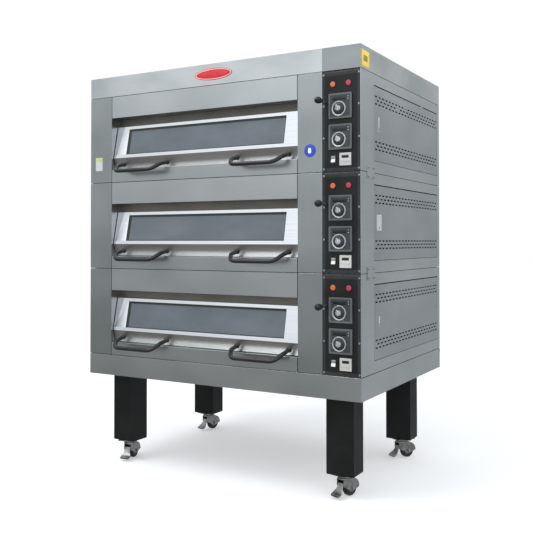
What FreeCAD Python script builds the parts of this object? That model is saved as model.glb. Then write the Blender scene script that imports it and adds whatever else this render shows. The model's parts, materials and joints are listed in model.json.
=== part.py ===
"""Three-deck electric bakery oven on a castored stand.

Millimetres, +Z up, front towards -Y.  The origin is on the floor, under the
middle of the oven.  Each function returns the solids of one named sub-part.
"""
import math
import os

import FreeCAD
import Part

V = FreeCAD.Vector

# ---- driving dimensions ----------------------------------------------------
WIDTH = 1330.0            # over the side skins
DEPTH = 950.0             # front skin to rear skin
DECK_H = 385.0            # one baking deck
BASE_H = 90.0             # plinth under the lowest deck
HOOD_H = 90.0             # cap over the top deck
LEG_H = 310.0
CASTER_H = 92.0
SHEET = 2.0               # skin thickness
SEAM = 1.0                # half of the gap between two modules
END_GAP = 2.5             # between a fascia or sill and the cheeks

OPENING_LEFT = -542.0     # door opening, between the front pillars
OPENING_RIGHT = 400.0
PANEL_LEFT = 508.0        # control panel, on the right of the pillar
PANEL_RIGHT = 662.5
PANEL_SEAM = 2.0          # between the pillar face and the panel

# heights above the bottom of a deck
SILL_TOP = 57.0
FASCIA_BOTTOM = 289.0
DOOR_BOTTOM = 59.0
NOSE_BOTTOM = 110.0
NOSE_TOP = 124.0
WINDOW_TOP = 239.0
DOOR_TOP = 252.0
HINGE_Z = 245.5
PAN_TOP = 4.0             # floor pan of the chassis
ROOM_TOP = 384.0          # highest inner piece of a deck
CHAMBER_FLOOR = 36.0
STONE_TOP = 72.0
STONE_THICK = 18.0
CHAMBER_CEILING = 262.0
MOUTH_BOTTOM = 70.0
MOUTH_TOP = 226.0
STEAM_BOX_BOTTOM = 218.0
STEAM_BOX_TOP = 308.0
STEAM_PORT_BOTTOM = 224.0
STEAM_PORT_TOP = 244.0
COVER_BOTTOM = 48.0       # side cover
COVER_TOP = 338.0
PANEL_BOTTOM = 4.0
PANEL_TOP = 376.0
ELEMENT_Z = [45.0, 252.0]                  # under the stones and under the ceiling
SCREW_ROWS = [10.0, 128.0, 250.0, 369.0]   # of the control panel

# depths behind the front skin
DOOR_FOOT = 31.0          # lower edge of the door's undercut band
DOOR_NOSE = 13.0
DOOR_HEAD = 43.0          # the door leans back to here at its top
DOOR_BACK = 67.0
HINGE_DEPTH = 60.0
MOUTH_DEPTH = 72.0
CHAMBER_FRONT = 75.0
CHAMBER_BACK = 875.0
POST_FRONT = 124.0        # width of the front side post
POST_REAR = 35.0
COVER_INSET = 130.0       # front edge of a side cover
LINK_DEPTH = 92.0         # middle of the deck link plates

DOOR_GAP = 3.0            # between door end and cheek
STILE = 67.0              # width of the door's side strips
CHAMBER_LEFT = -521.0
CHAMBER_RIGHT = 379.0
FIREWALL_X = 442.0        # between the insulation and the control bay

PIN_R = 5.0               # door hinge pins
PIN_BLOCK_W = 16.0        # pin block outwards from the cheek
PIN_BLOCK_HALF = 12.0
PIN_BLOCK_AHEAD = 11.0    # pin block in front of the pin
PIN_REACH = 12.0          # pin inside the door's end
FIT = 0.05                # radial running clearance

HANDLE_R = 8.5
HANDLE_HALF = 120.0       # half the distance between a handle's two feet
HANDLE_GRIP_HALF = 98.0
HANDLE_REACH = 64.0       # grip axis in front of the front skin
HANDLE_KNEE = 22.0        # knee axis in front of the front skin
HANDLE_FOOT_Z = 81.0
HANDLE_KNEE_Z = 71.0
HANDLE_GRIP_Z = 44.0
HANDLE_BEND_R = 34.0
HANDLE_FLANGE_R = 12.0
HANDLE_OFFSET = 299.0     # handle middle, each side of the door's middle

ROD_X = 525.0             # damper pull
ROD_Z = 263.0
ROD_R = 4.0
DAMPER_TRAVEL = 45.0
KNOB_REACH = 90.0         # knob tip in front of the skin, pulled out

METER_X = 583.0           # heat controllers
METER_SIZE = 96.0
METER_Z = {"topheat": 248.0, "bottomheat": 131.0}
METER_THICK = 5.0
METER_CASE = 80.0         # depth behind the panel
DIAL_X = 577.0
DIAL_DROP = 10.0          # dial centre below the controller's centre
DIAL_R = 22.0
DIAL_SHAFT_R = 3.0
DIAL_SHAFT_IN = 14.0      # shaft behind the front skin
DIAL_GAP = 0.8            # dial off the bezel
DIAL_SKIRT_T = 4.0
DIAL_HUB_R = 11.0
DIAL_HUB_T = 8.0
DIAL_BAR_HALF = 4.0       # finger bar across the hub
DIAL_BAR_T = 12.0
DIAL_POINTER = 15.0       # bar's long end from the axis

TIMER_X = 603.0
TIMER_Z = 46.0
TIMER_SIZE = 48.0
TIMER_CASE = 62.0
ROCKER_X = 553.0
ROCKER_Z = 46.0
ROCKER_HALF = 8.5
ROCKER_OUTLINE = [(-8.5, -11.6), (-7.0, 0.0), (-8.5, 11.6), (-3.0, 12.8), (3.0, 9.0),
                  (3.0, -9.0), (-3.0, -12.8)]
SWITCH_FLANGE = (12.0, 16.5)   # half width and half height
SWITCH_FLANGE_T = 2.0
SWITCH_TUBE = (10.5, 15.0)
SWITCH_WELL = (8.9, 13.4)
SWITCH_DEPTH = 16.0
SWITCH_PIN_R = 1.5
SWITCH_PIN_Y = 3.0        # pin behind the front skin
SWITCH_PIN_IN = 0.6       # pin ends in the walls
ROCKER_REST = 8.0         # degrees the rocker tips at rest
LAMP_X = {"orange": 551.0, "red": 616.0}
LAMP_Z = 332.0
LAMP_R = 10.5
LAMP_BODY_R = 7.8
PANEL_T = 3.0

SPIGOT_R = 30.0
SPIGOT_LEN = 90.0
SPIGOT_WALL = 2.0
SPIGOT_ROOM = 1.0         # round each spigot in its rear panel
STEAM_BOX_RIGHT = 600.0

GLAND_R = 12.5            # supply-cable gland in the plinth
GLAND_BORE = 9.0
GLAND_THREAD = 14.0       # thread inside the rear sheet
GLAND_COLLAR = 33.0       # across flats
GLAND_COLLAR_T = 10.0
GLAND_DOME_R = 14.5
GLAND_DOME_T = 20.0
GLAND_NUT = 36.0          # across flats
GLAND_NUT_T = 7.0
FIT_THREAD = 0.2
GLAND_X = 525.0

SLOT_LEN = 22.0           # vent slots of the side covers
SLOT_H = 5.5
SLOT_PITCH = 37.0
SLOT_COUNT = 21           # in the outer rows; the row between has one less
SLOT_ROW_STEP = 14.5
SLOT_TOP_INSET = 38.0     # first row below the upper edge
SLOT_BOTTOM_INSET = 46.0  # first row above the lower edge
COVER_GAP = 1.5
COVER_TOP_GAP = 4.0

LINK_HALF_Y = 34.0        # deck link plates
LINK_HALF_Z = 25.0
LINK_T = 3.0
LINK_SCREW_Y = 26.0       # screws each side of a plate's middle
LINK_SCREW_Z = 17.0

SCREW_HEAD_R = 4.2
SCREW_HEAD_H = 2.6
SCREW_ROUND = 1.2         # rounding of a head, and depth of its recess
RECESS_LEN = 2.2          # half of each bar of the cross recess
RECESS_WIDTH = 0.5
REAR_SCREW_X = [-640.0, -215.0, 215.0, 640.0]
REAR_SCREW_INSET = 18.0

ELEMENT_R = 4.0           # heaters
ELEMENT_PITCH = 90.0
ELEMENT_ROWS = [-290.0, -20.0, 250.0]      # middle of each hairpin
ELEMENT_END = 462.0
LEDGE_WIDTH = 20.0        # ledges under the stones

LEG_X = 538.5             # leg centres
LEG_Y = {"front": -343.0, "rear": 297.0}
LEG_WIDTH = 117.0
LEG_DEPTH = 94.0
LEG_WALL = 3.0
PLINTH_FLOOR = 3.0

WHEEL_R = 32.5
WHEEL_W = 24.0
AXLE_R = 4.0
TRAIL = 28.0              # wheel axle behind the swivel axis
KINGPIN_R = 6.0
PLATE_LEN = 92.0          # caster top plate
PLATE_WIDTH = 76.0
PLATE_T = 4.0
NUT_R = 10.0              # kingpin nut
NUT_BOTTOM = 62.0
HEAD_R = 27.0             # swivel head
HEAD_BOTTOM = 70.0
HEAD_TOP = 87.5
FORK_INNER = 15.0         # cheeks, each side of the wheel
FORK_OUTER = 18.0
FORK_HOOD_R = 38.0        # hood over the wheel, about the axle
FORK_HOOD_T = 3.5
BRIDGE_T = 3.0            # strip that joins the cheeks under the head
BRIDGE_FRONT = -22.0
BRIDGE_OVER = 4.0         # bridge behind the axle
CHEEK_FRONT_Z = 46.0      # front corner of a cheek
CHEEK_DROP = 10.0         # cheek below the axle
CHEEK_FOOT = 8.0          # cheek's low edge behind the axle
AXLE_OVER = 2.0           # axle ends outside the cheeks
WHEEL_ROUND = 5.0
HUB_R = 11.0
HUB_OVER = 2.4            # hub beyond the tyre, each side
PEDAL_X = -21.0           # brake pedal's pivot
PEDAL_Z = 53.0
PEDAL_PIN_R = 2.5
PEDAL_BARREL_R = 6.0
PEDAL_HALF = 14.5         # half width between the cheeks
TOE_HALF = 25.0           # half width of the toe
TOE_START = -33.0
PEDAL_OUTLINE = [(-27, 56), (-20, 58), (-22, 44), (-36, 24), (-50, 14), (-60, 12),
                 (-62, 16), (-52, 21), (-41, 32), (-31, 48)]
CASTER_TURN = {"front_left": 102.0, "front_right": 73.0,
               "rear_left": 77.0, "rear_right": 57.0}

# ---- derived places ----------------------------------------------------------
FRONT = -DEPTH / 2
BACK = DEPTH / 2
SIDE = WIDTH / 2
BODY_Z = CASTER_H + LEG_H
DECKS = ["lower", "middle", "upper"]
DECK_Z = {name: BODY_Z + BASE_H + i * DECK_H for i, name in enumerate(DECKS)}
HOOD_Z = BODY_Z + BASE_H + len(DECKS) * DECK_H
TOP_Z = HOOD_Z + HOOD_H
DOOR_LEFT = OPENING_LEFT + DOOR_GAP
DOOR_RIGHT = OPENING_RIGHT - DOOR_GAP
DOOR_MID = (DOOR_LEFT + DOOR_RIGHT) / 2
GLASS_LEFT = DOOR_LEFT + STILE
GLASS_RIGHT = DOOR_RIGHT - STILE
INNER_FRONT = FRONT + SHEET
INNER_BACK = BACK - SHEET
INNER_SIDE = SIDE - SHEET
MOUTH_LEFT = CHAMBER_LEFT + 6.0
MOUTH_RIGHT = CHAMBER_RIGHT - 6.0
COVER_FRONT = FRONT + COVER_INSET
COVER_REAR = BACK - POST_REAR - COVER_GAP
LINK_Y = FRONT + LINK_DEPTH
STEAM_BOX_FRONT = BACK - 140.0
STEAM_PORT_FRONT = BACK - 130.0
STEAM_PORT_BACK = BACK - 90.0
GLAND_Z = BODY_Z + 45.0
SCREW_X = [PANEL_LEFT + 5.0, PANEL_RIGHT - 4.5]


# ---- small helpers -------------------------------------------------------------
def block(x0, x1, y0, y1, z0, z1):
    """Box between two corners."""
    return Part.makeBox(x1 - x0, y1 - y0, z1 - z0, V(x0, y0, z0))


def rod_x(radius, x0, x1, y, z):
    return Part.makeCylinder(radius, x1 - x0, V(x0, y, z), V(1, 0, 0))


def rod_y(radius, y0, y1, x, z):
    return Part.makeCylinder(radius, y1 - y0, V(x, y0, z), V(0, 1, 0))


def rod_z(radius, z0, z1, x, y):
    return Part.makeCylinder(radius, z1 - z0, V(x, y, z0), V(0, 0, 1))


def prism_x(outline, x0, x1):
    """Solid with the same (y, z) outline all along X."""
    points = [V(x0, y, z) for y, z in outline]
    face = Part.Face(Part.makePolygon(points + points[:1]))
    return face.extrude(V(x1 - x0, 0, 0))


def prism_y(outline, y0, y1):
    """Solid with the same (x, z) outline all along Y."""
    points = [V(x, y0, z) for x, z in outline]
    face = Part.Face(Part.makePolygon(points + points[:1]))
    return face.extrude(V(0, y1 - y0, 0))


def front_plate(x0, x1, z0, z1):
    """Sheet in the front skin."""
    return block(x0, x1, FRONT, INNER_FRONT, z0, z1)


def both_sides(make):
    """The solids that make(sign) returns for the right and the left side."""
    return make(1) + make(-1)


def side_plate(sign, y0, y1, z0, z1, skin=SHEET, proud=0.0):
    """Sheet in a side skin; sign is +1 on the right."""
    outer = SIDE + proud
    x0, x1 = sorted((sign * outer, sign * (outer - skin)))
    return block(x0, x1, y0, y1, z0, z1)


def each_deck(make):
    """The solids that make(deck bottom) returns, for every deck."""
    solids = []
    for name in DECKS:
        solids += make(DECK_Z[name])
    return solids


# ---- stand ------------------------------------------------------------------------
def leg_places():
    places = {}
    for end, y in LEG_Y.items():
        places[end + "_left"] = (-LEG_X, y)
        places[end + "_right"] = (LEG_X, y)
    return places


def legs():
    """Square tubes, each with a flange under the plinth and a foot plate."""
    solids = []
    flange_t = 5.0
    flange_lip = 12.0
    half_w = LEG_WIDTH / 2
    half_d = LEG_DEPTH / 2
    for x, y in leg_places().values():
        tube = block(x - half_w, x + half_w, y - half_d, y + half_d, CASTER_H, BODY_Z - flange_t)
        bore = block(x - half_w + LEG_WALL, x + half_w - LEG_WALL,
                     y - half_d + LEG_WALL, y + half_d - LEG_WALL,
                     CASTER_H + LEG_WALL, BODY_Z - flange_t)
        flange = block(x - half_w - flange_lip, x + half_w + flange_lip,
                       y - half_d - flange_lip, y + half_d + flange_lip,
                       BODY_Z - flange_t, BODY_Z)
        solids.append(tube.cut(bore).fuse(flange).removeSplitter())
    return solids


def base_plinth():
    """Open-topped tray that carries the lowest deck."""
    z0 = BODY_Z
    z1 = BODY_Z + BASE_H - SEAM
    rear = block(-SIDE, SIDE, INNER_BACK, BACK, z0, z1)
    rear = rear.cut(rod_y(GLAND_R, INNER_BACK - 1, BACK + 1, GLAND_X, GLAND_Z))
    pan = block(-INNER_SIDE, INNER_SIDE, INNER_FRONT, INNER_BACK, z0, z0 + PLINTH_FLOOR)
    walls = both_sides(lambda s: [side_plate(s, INNER_FRONT, INNER_BACK, z0, z1)])
    return [front_plate(-SIDE, SIDE, z0, z1), rear, pan] + walls


# ---- casters, drawn with the swivel axis on the origin and the trail along +X ----
def caster_plate():
    """Top plate with its kingpin and the nut that keeps the fork on."""
    half_x = PLATE_LEN / 2
    half_y = PLATE_WIDTH / 2
    plate = block(-half_x, half_x, -half_y, half_y, CASTER_H - PLATE_T, CASTER_H)
    pin = rod_z(KINGPIN_R, NUT_BOTTOM, CASTER_H - PLATE_T, 0, 0)
    nut = rod_z(NUT_R, NUT_BOTTOM, HEAD_BOTTOM - 0.5, 0, 0)
    return plate.fuse([pin, nut]).removeSplitter()


def fork_cheek(y0, y1):
    """Side of the fork: a neck under the head and a round end about the axle."""
    top = HEAD_BOTTOM + BRIDGE_T
    low = WHEEL_R - CHEEK_DROP
    rear = TRAIL + FORK_HOOD_R + 1
    neck = prism_y([(-HEAD_R, top), (TRAIL, top), (TRAIL, WHEEL_R), (-HEAD_R, WHEEL_R)], y0, y1)
    end = rod_y(FORK_HOOD_R, y0, y1, TRAIL, WHEEL_R)
    kept = [(-HEAD_R, top), (-HEAD_R, CHEEK_FRONT_Z), (TRAIL - CHEEK_DROP, low),
            (TRAIL + CHEEK_FOOT, low), (rear, WHEEL_R), (rear, top)]
    return neck.fuse(end).common(prism_y(kept, y0, y1))


def fork_hood():
    """Rounded strip that joins the cheeks behind the wheel."""
    outer = rod_y(FORK_HOOD_R, -FORK_INNER, FORK_INNER, TRAIL, WHEEL_R)
    inner = rod_y(FORK_HOOD_R - FORK_HOOD_T, -FORK_OUTER, FORK_OUTER, TRAIL, WHEEL_R)
    quarter = block(TRAIL, TRAIL + FORK_HOOD_R + 1, -FORK_INNER, FORK_INNER, WHEEL_R,
                    HEAD_BOTTOM + BRIDGE_T)
    return outer.cut(inner).common(quarter)


def caster_fork():
    """Swivel head, two cheeks and a hood, the wheel axle and the pedal's pivot pin."""
    head = rod_z(HEAD_R, HEAD_BOTTOM, HEAD_TOP, 0, 0)
    bridge = block(BRIDGE_FRONT, TRAIL + BRIDGE_OVER, -FORK_OUTER, FORK_OUTER,
                   HEAD_BOTTOM, HEAD_BOTTOM + BRIDGE_T)
    top = head.fuse(bridge).cut(rod_z(KINGPIN_R + FIT, HEAD_BOTTOM - 1, HEAD_TOP + 1, 0, 0))
    axle = rod_y(AXLE_R, -FORK_OUTER - AXLE_OVER, FORK_OUTER + AXLE_OVER, TRAIL, WHEEL_R)
    pivot = rod_y(PEDAL_PIN_R, -FORK_OUTER, FORK_OUTER, PEDAL_X, PEDAL_Z)
    cheeks = [fork_cheek(-FORK_OUTER, -FORK_INNER), fork_cheek(FORK_INNER, FORK_OUTER)]
    return top.fuse(cheeks + [fork_hood(), axle, pivot]).removeSplitter()


def caster_wheel():
    """Wheel with a rounded tread, a hub and a bore that runs on the axle."""
    half = WHEEL_W / 2
    tread = rod_y(WHEEL_R, -half, half, TRAIL, WHEEL_R)
    rims = [edge for edge in tread.Edges if abs(edge.Length - 2 * math.pi * WHEEL_R) < 0.1]
    tread = tread.makeFillet(WHEEL_ROUND, rims)
    hub = rod_y(HUB_R, -half - HUB_OVER, half + HUB_OVER, TRAIL, WHEEL_R)
    bore = rod_y(AXLE_R + FIT, -WHEEL_W, WHEEL_W, TRAIL, WHEEL_R)
    return tread.fuse(hub).cut(bore).removeSplitter()


def caster_brake():
    """Toe pedal, down in its locked place, on a barrel between the cheeks."""
    stem = prism_y(PEDAL_OUTLINE, -PEDAL_HALF, PEDAL_HALF)
    toe = prism_y(PEDAL_OUTLINE, -TOE_HALF, TOE_HALF)
    toe = toe.common(block(-100, TOE_START, -TOE_HALF, TOE_HALF, 0, CASTER_H))
    barrel = rod_y(PEDAL_BARREL_R, -PEDAL_HALF, PEDAL_HALF, PEDAL_X, PEDAL_Z)
    bore = rod_y(PEDAL_PIN_R + FIT, -FORK_OUTER, FORK_OUTER, PEDAL_X, PEDAL_Z)
    return stem.fuse([toe, barrel]).cut(bore).removeSplitter()


def place_caster(solid, corner):
    """Turn a caster piece about its swivel axis and put it under its leg."""
    x, y = leg_places()[corner]
    moved = solid.copy()
    moved.rotate(V(0, 0, 0), V(0, 0, 1), CASTER_TURN[corner])
    moved.translate(V(x, y, 0))
    return moved


# ---- skins ------------------------------------------------------------------------
def front_pillars():
    """Pillar faces and the cheeks that line the opening, both sides of every door."""
    def deck(z):
        z0 = z + SEAM
        z1 = z + DECK_H - SEAM
        y1 = FRONT + MOUTH_DEPTH
        solids = [front_plate(-SIDE, OPENING_LEFT, z0, z1),
                  front_plate(OPENING_RIGHT, PANEL_LEFT - PANEL_SEAM, z0, z1)]
        for x0, x1 in ((OPENING_LEFT - SHEET, OPENING_LEFT),
                       (OPENING_RIGHT, OPENING_RIGHT + SHEET)):
            cheek = block(x0, x1, INNER_FRONT, y1, z + PAN_TOP, z1)
            hole = rod_x(PIN_R + 0.2, x0 - 1, x1 + 1, FRONT + HINGE_DEPTH, z + HINGE_Z)
            solids.append(cheek.cut(hole))
        return solids
    return each_deck(deck)


def front_fascias():
    """Panel over each door, with the soffit that returns over the recess."""
    x0 = OPENING_LEFT + END_GAP
    x1 = OPENING_RIGHT - END_GAP

    def deck(z):
        z0 = z + FASCIA_BOTTOM
        face = front_plate(x0, x1, z0, z + DECK_H - SEAM)
        soffit = block(x0, x1, INNER_FRONT, FRONT + MOUTH_DEPTH, z0, z0 + SHEET)
        return [face, soffit]
    return each_deck(deck)


def front_sills():
    """Panel under each door, with the ledge that runs back to the chamber."""
    x0 = OPENING_LEFT + END_GAP
    x1 = OPENING_RIGHT - END_GAP

    def deck(z):
        z1 = z + SILL_TOP
        face = front_plate(x0, x1, z + SEAM, z1)
        ledge = block(x0, x1, INNER_FRONT, FRONT + MOUTH_DEPTH, z1 - SHEET, z1)
        return [face, ledge]
    return each_deck(deck)


def side_frames():
    """Corner posts, and the rails above and below each side cover."""
    def deck(z):
        z0 = z + SEAM
        z1 = z + DECK_H - SEAM
        y0 = FRONT + POST_FRONT
        y1 = BACK - POST_REAR

        def side(sign):
            beside_panel = sign > 0
            front = FRONT if beside_panel else INNER_FRONT
            return [side_plate(sign, front, y0, z0, z1),
                    side_plate(sign, y1, INNER_BACK, z0, z1),
                    side_plate(sign, y0, y1, z0, z + COVER_BOTTOM - COVER_GAP),
                    side_plate(sign, y0, y1, z + COVER_TOP + COVER_TOP_GAP, z1),
                    side_plate(sign, y0, COVER_FRONT - COVER_GAP,
                               z + COVER_BOTTOM - COVER_GAP, z + COVER_TOP + COVER_TOP_GAP)]
        return both_sides(side)
    return each_deck(deck)


def slot_centres(z):
    """Centres (y, z) of the vent slots in the cover of one deck."""
    middle = (COVER_FRONT + COVER_REAR) / 2
    centres = []
    for row in range(3):
        count = SLOT_COUNT - row % 2
        for i in range(count):
            y = middle + (i - (count - 1) / 2) * SLOT_PITCH
            centres.append((y, z + COVER_TOP - SLOT_TOP_INSET - row * SLOT_ROW_STEP))
            centres.append((y, z + COVER_BOTTOM + SLOT_BOTTOM_INSET + row * SLOT_ROW_STEP))
    return centres


def slot_outline(x, y, z):
    """Closed wire of one slot with round ends."""
    radius = SLOT_H / 2
    half = SLOT_LEN / 2 - radius
    low_front = V(x, y - half, z - radius)
    low_rear = V(x, y + half, z - radius)
    high_rear = V(x, y + half, z + radius)
    high_front = V(x, y - half, z + radius)
    return Part.Wire([Part.LineSegment(low_front, low_rear).toShape(),
                      Part.Arc(low_rear, V(x, y + half + radius, z), high_rear).toShape(),
                      Part.LineSegment(high_rear, high_front).toShape(),
                      Part.Arc(high_front, V(x, y - half - radius, z), low_front).toShape()])


def vented_cover(z):
    """Right-hand side cover, with three staggered rows of slots at top and bottom."""
    z0 = z + COVER_BOTTOM
    z1 = z + COVER_TOP
    corners = [V(INNER_SIDE, COVER_FRONT, z0), V(INNER_SIDE, COVER_REAR, z0),
               V(INNER_SIDE, COVER_REAR, z1), V(INNER_SIDE, COVER_FRONT, z1)]
    wires = [Part.makePolygon(corners + corners[:1])]
    for y, mid in slot_centres(z):
        wires.append(slot_outline(INNER_SIDE, y, mid))
    face = Part.makeFace(wires, "Part::FaceMakerBullseye")
    return Part.Solid(face.extrude(V(SHEET, 0, 0)).Shells[0])


def side_covers():
    def deck(z):
        plain = side_plate(-1, COVER_FRONT, COVER_REAR, z + COVER_BOTTOM, z + COVER_TOP)
        return [vented_cover(z), plain]
    return each_deck(deck)


def rear_panels():
    """One rear panel per deck, with a hole for the steam spigot."""
    def deck(z):
        plate = block(-SIDE, SIDE, INNER_BACK, BACK, z + SEAM, z + DECK_H - SEAM)
        hole = rod_y(SPIGOT_R + SPIGOT_ROOM, INNER_BACK - 1, BACK + 1, ROD_X, z + ROD_Z)
        return [plate.cut(hole)]
    return each_deck(deck)


def hood():
    """Top cap: the front lip has a separate piece above the control bay."""
    z0 = HOOD_Z + SEAM
    z1 = TOP_Z - SHEET
    split = PANEL_LEFT - PANEL_SEAM
    top = block(-SIDE, SIDE, FRONT, BACK, z1, TOP_Z)
    rear = block(-SIDE, SIDE, INNER_BACK, BACK, z0, z1)
    lips = both_sides(lambda s: [side_plate(s, INNER_FRONT, INNER_BACK, z0, z1)])
    return [top, rear, front_plate(-SIDE, split, z0, z1), front_plate(split + 1, SIDE, z0, z1)] + lips


def deck_frames():
    """Inner chassis: floor pan, firewall and the rails behind the panel edges."""
    def deck(z):
        pan = block(-INNER_SIDE, INNER_SIDE, INNER_FRONT, INNER_BACK, z + SEAM, z + PAN_TOP)
        wall = block(FIREWALL_X, FIREWALL_X + SHEET, INNER_FRONT, INNER_BACK, z + PAN_TOP, z + ROOM_TOP)
        wall = wall.cut(plenum_outer(z)).cut(element_passages(z))
        rail = block(PANEL_LEFT, PANEL_RIGHT, FRONT + 4, FRONT + 8, z + ROOM_TOP - 16, z + ROOM_TOP)
        return [pan, wall, rail]
    return each_deck(deck)


def link_heights():
    return [DECK_Z["middle"], DECK_Z["upper"]]


def deck_link_plates():
    """Straps on the side posts that tie one deck to the next."""
    def side(sign):
        return [side_plate(sign, LINK_Y - LINK_HALF_Y, LINK_Y + LINK_HALF_Y,
                           z - LINK_HALF_Z, z + LINK_HALF_Z, LINK_T, LINK_T)
                for z in link_heights()]
    return both_sides(side)


# ---- baking chambers -------------------------------------------------------------
def element_passages(z):
    """Holes that the heaters' tails need through the right-hand walls."""
    holes = []
    for level in ELEMENT_Z:
        for y in ELEMENT_ROWS:
            for side in (-1, 1):
                holes.append(rod_x(ELEMENT_R + 0.5, CHAMBER_RIGHT - 1, ELEMENT_END,
                                   y + side * ELEMENT_PITCH / 2, z + level))
    return Part.makeCompound(holes)


def heating_elements():
    """Hairpin heaters: two straight legs and a half-round bend, tails in the control bay."""
    solids = []
    bend_x = CHAMBER_LEFT + 70.0
    half = ELEMENT_PITCH / 2
    for name in DECKS:
        for level in ELEMENT_Z:
            z = DECK_Z[name] + level
            for y in ELEMENT_ROWS:
                start = V(ELEMENT_END, y - half, z)
                turn_in = V(bend_x, y - half, z)
                apex = V(bend_x - half, y, z)
                turn_out = V(bend_x, y + half, z)
                end = V(ELEMENT_END, y + half, z)
                path = Part.Wire([Part.LineSegment(start, turn_in).toShape(),
                                  Part.Arc(turn_in, apex, turn_out).toShape(),
                                  Part.LineSegment(turn_out, end).toShape()])
                section = Part.Wire(Part.Circle(start, V(1, 0, 0), ELEMENT_R).toShape())
                solids.append(path.makePipeShell([section], True, False))
    return solids


def plenum_outer(z):
    """Outline of the steam box at the back of the control bay."""
    return block(CHAMBER_RIGHT + SHEET, STEAM_BOX_RIGHT, STEAM_BOX_FRONT, INNER_BACK,
                 z + STEAM_BOX_BOTTOM, z + STEAM_BOX_TOP)


def steam_port(z):
    """Hole through which steam leaves the chamber."""
    return block(CHAMBER_RIGHT - 1, CHAMBER_RIGHT + 2 * SHEET + 1, STEAM_PORT_FRONT, STEAM_PORT_BACK,
                 z + STEAM_PORT_BOTTOM, z + STEAM_PORT_TOP)


def steam_outlets():
    """Steam boxes and rear spigots; a damper disc closes each spigot from inside."""
    x0 = CHAMBER_RIGHT + SHEET
    x1 = STEAM_BOX_RIGHT
    y0 = STEAM_BOX_FRONT
    y1 = INNER_BACK - SHEET

    def deck(z):
        z0 = z + STEAM_BOX_BOTTOM
        z1 = z + STEAM_BOX_TOP
        mid = z + ROD_Z
        left = block(x0, x0 + SHEET, y0, y1, z0 + SHEET, z1 - SHEET).cut(steam_port(z))
        front = block(x0 + SHEET, x1 - SHEET, y0, y0 + SHEET, z0 + SHEET, z1 - SHEET)
        front = front.cut(rod_y(ROD_R + FIT, y0 - 1, y0 + SHEET + 1, ROD_X, mid))
        rear = block(x0, x1, y1, INNER_BACK, z0, z1)
        rear = rear.fuse(rod_y(SPIGOT_R, y1, BACK + SPIGOT_LEN, ROD_X, mid))
        rear = rear.cut(rod_y(SPIGOT_R - SPIGOT_WALL, y1 - 1, BACK + SPIGOT_LEN + 1, ROD_X, mid))
        return [block(x0, x1, y0, y1, z0, z0 + SHEET),
                block(x0, x1, y0, y1, z1 - SHEET, z1),
                block(x1 - SHEET, x1, y0, y1, z0 + SHEET, z1 - SHEET),
                left, front, rear.removeSplitter()]
    return each_deck(deck)


def chamber_shells():
    """Inner box of each deck, the ledges under its stones and the frame of its mouth."""
    x0 = CHAMBER_LEFT - SHEET
    x1 = CHAMBER_RIGHT + SHEET
    y0 = FRONT + CHAMBER_FRONT
    y1 = FRONT + CHAMBER_BACK

    def deck(z):
        z0 = z + CHAMBER_FLOOR
        z1 = z + CHAMBER_CEILING
        right = block(CHAMBER_RIGHT, x1, y0, y1, z0, z1)
        right = right.cut(element_passages(z)).cut(steam_port(z))
        solids = [block(x0, x1, y0, y1 + SHEET, z0 - SHEET, z0),
                  block(x0, x1, y0, y1 + SHEET, z1, z1 + SHEET),
                  block(x0, CHAMBER_LEFT, y0, y1, z0, z1),
                  block(x0, x1, y1, y1 + SHEET, z0, z1),
                  right]
        stone_bottom = z + STONE_TOP - STONE_THICK
        for x in (CHAMBER_LEFT, DOOR_MID - LEDGE_WIDTH / 2, CHAMBER_RIGHT - LEDGE_WIDTH):
            ledge = block(x, x + LEDGE_WIDTH, y0 + 4, y1, z0, stone_bottom)
            solids.append(ledge.cut(heater_slots(z)))
        return solids + mouth_frame(z)
    return each_deck(deck)


def heater_slots(z):
    """Notches that let the lower heaters cross the ledges."""
    half_y = ELEMENT_PITCH / 2 + ELEMENT_R + 2
    half_z = ELEMENT_R + 3
    mid = z + ELEMENT_Z[0]
    notches = []
    for y in ELEMENT_ROWS:
        notches.append(block(CHAMBER_LEFT + 1, CHAMBER_RIGHT + 1, y - half_y, y + half_y,
                             mid - half_z, mid + half_z))
    return Part.makeCompound(notches)


def mouth_frame(z):
    """Four strips around the chamber's mouth, behind the door."""
    y0 = FRONT + MOUTH_DEPTH
    y1 = FRONT + CHAMBER_FRONT
    z0 = z + PAN_TOP
    z1 = z + FASCIA_BOTTOM + SHEET
    return [block(OPENING_LEFT - SHEET, MOUTH_LEFT, y0, y1, z0, z1),
            block(MOUTH_RIGHT, OPENING_RIGHT + SHEET, y0, y1, z0, z1),
            block(MOUTH_LEFT, MOUTH_RIGHT, y0, y1, z0, z + MOUTH_BOTTOM),
            block(MOUTH_LEFT, MOUTH_RIGHT, y0, y1, z + MOUTH_TOP, z1)]


def mouth_gaskets():
    """Flat heat seals on the mouth frame, against the back of the closed door."""
    width = 7.0
    y0 = FRONT + DOOR_BACK + 0.4
    y1 = FRONT + MOUTH_DEPTH

    def deck(z):
        z0 = z + MOUTH_BOTTOM
        z1 = z + MOUTH_TOP
        return [block(MOUTH_LEFT - width, MOUTH_LEFT, y0, y1, z0 - width, z1 + width),
                block(MOUTH_RIGHT, MOUTH_RIGHT + width, y0, y1, z0 - width, z1 + width),
                block(MOUTH_LEFT, MOUTH_RIGHT, y0, y1, z0 - width, z0),
                block(MOUTH_LEFT, MOUTH_RIGHT, y0, y1, z1, z1 + width)]
    return each_deck(deck)


def hearth_stones():
    """Two baking stones per deck."""
    def deck(z):
        z0 = z + STONE_TOP - STONE_THICK
        z1 = z + STONE_TOP
        y0 = FRONT + CHAMBER_FRONT + 4
        y1 = FRONT + CHAMBER_BACK - 4
        return [block(CHAMBER_LEFT + 2, DOOR_MID - 1, y0, y1, z0, z1),
                block(DOOR_MID + 1, CHAMBER_RIGHT - 2, y0, y1, z0, z1)]
    return each_deck(deck)


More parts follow.
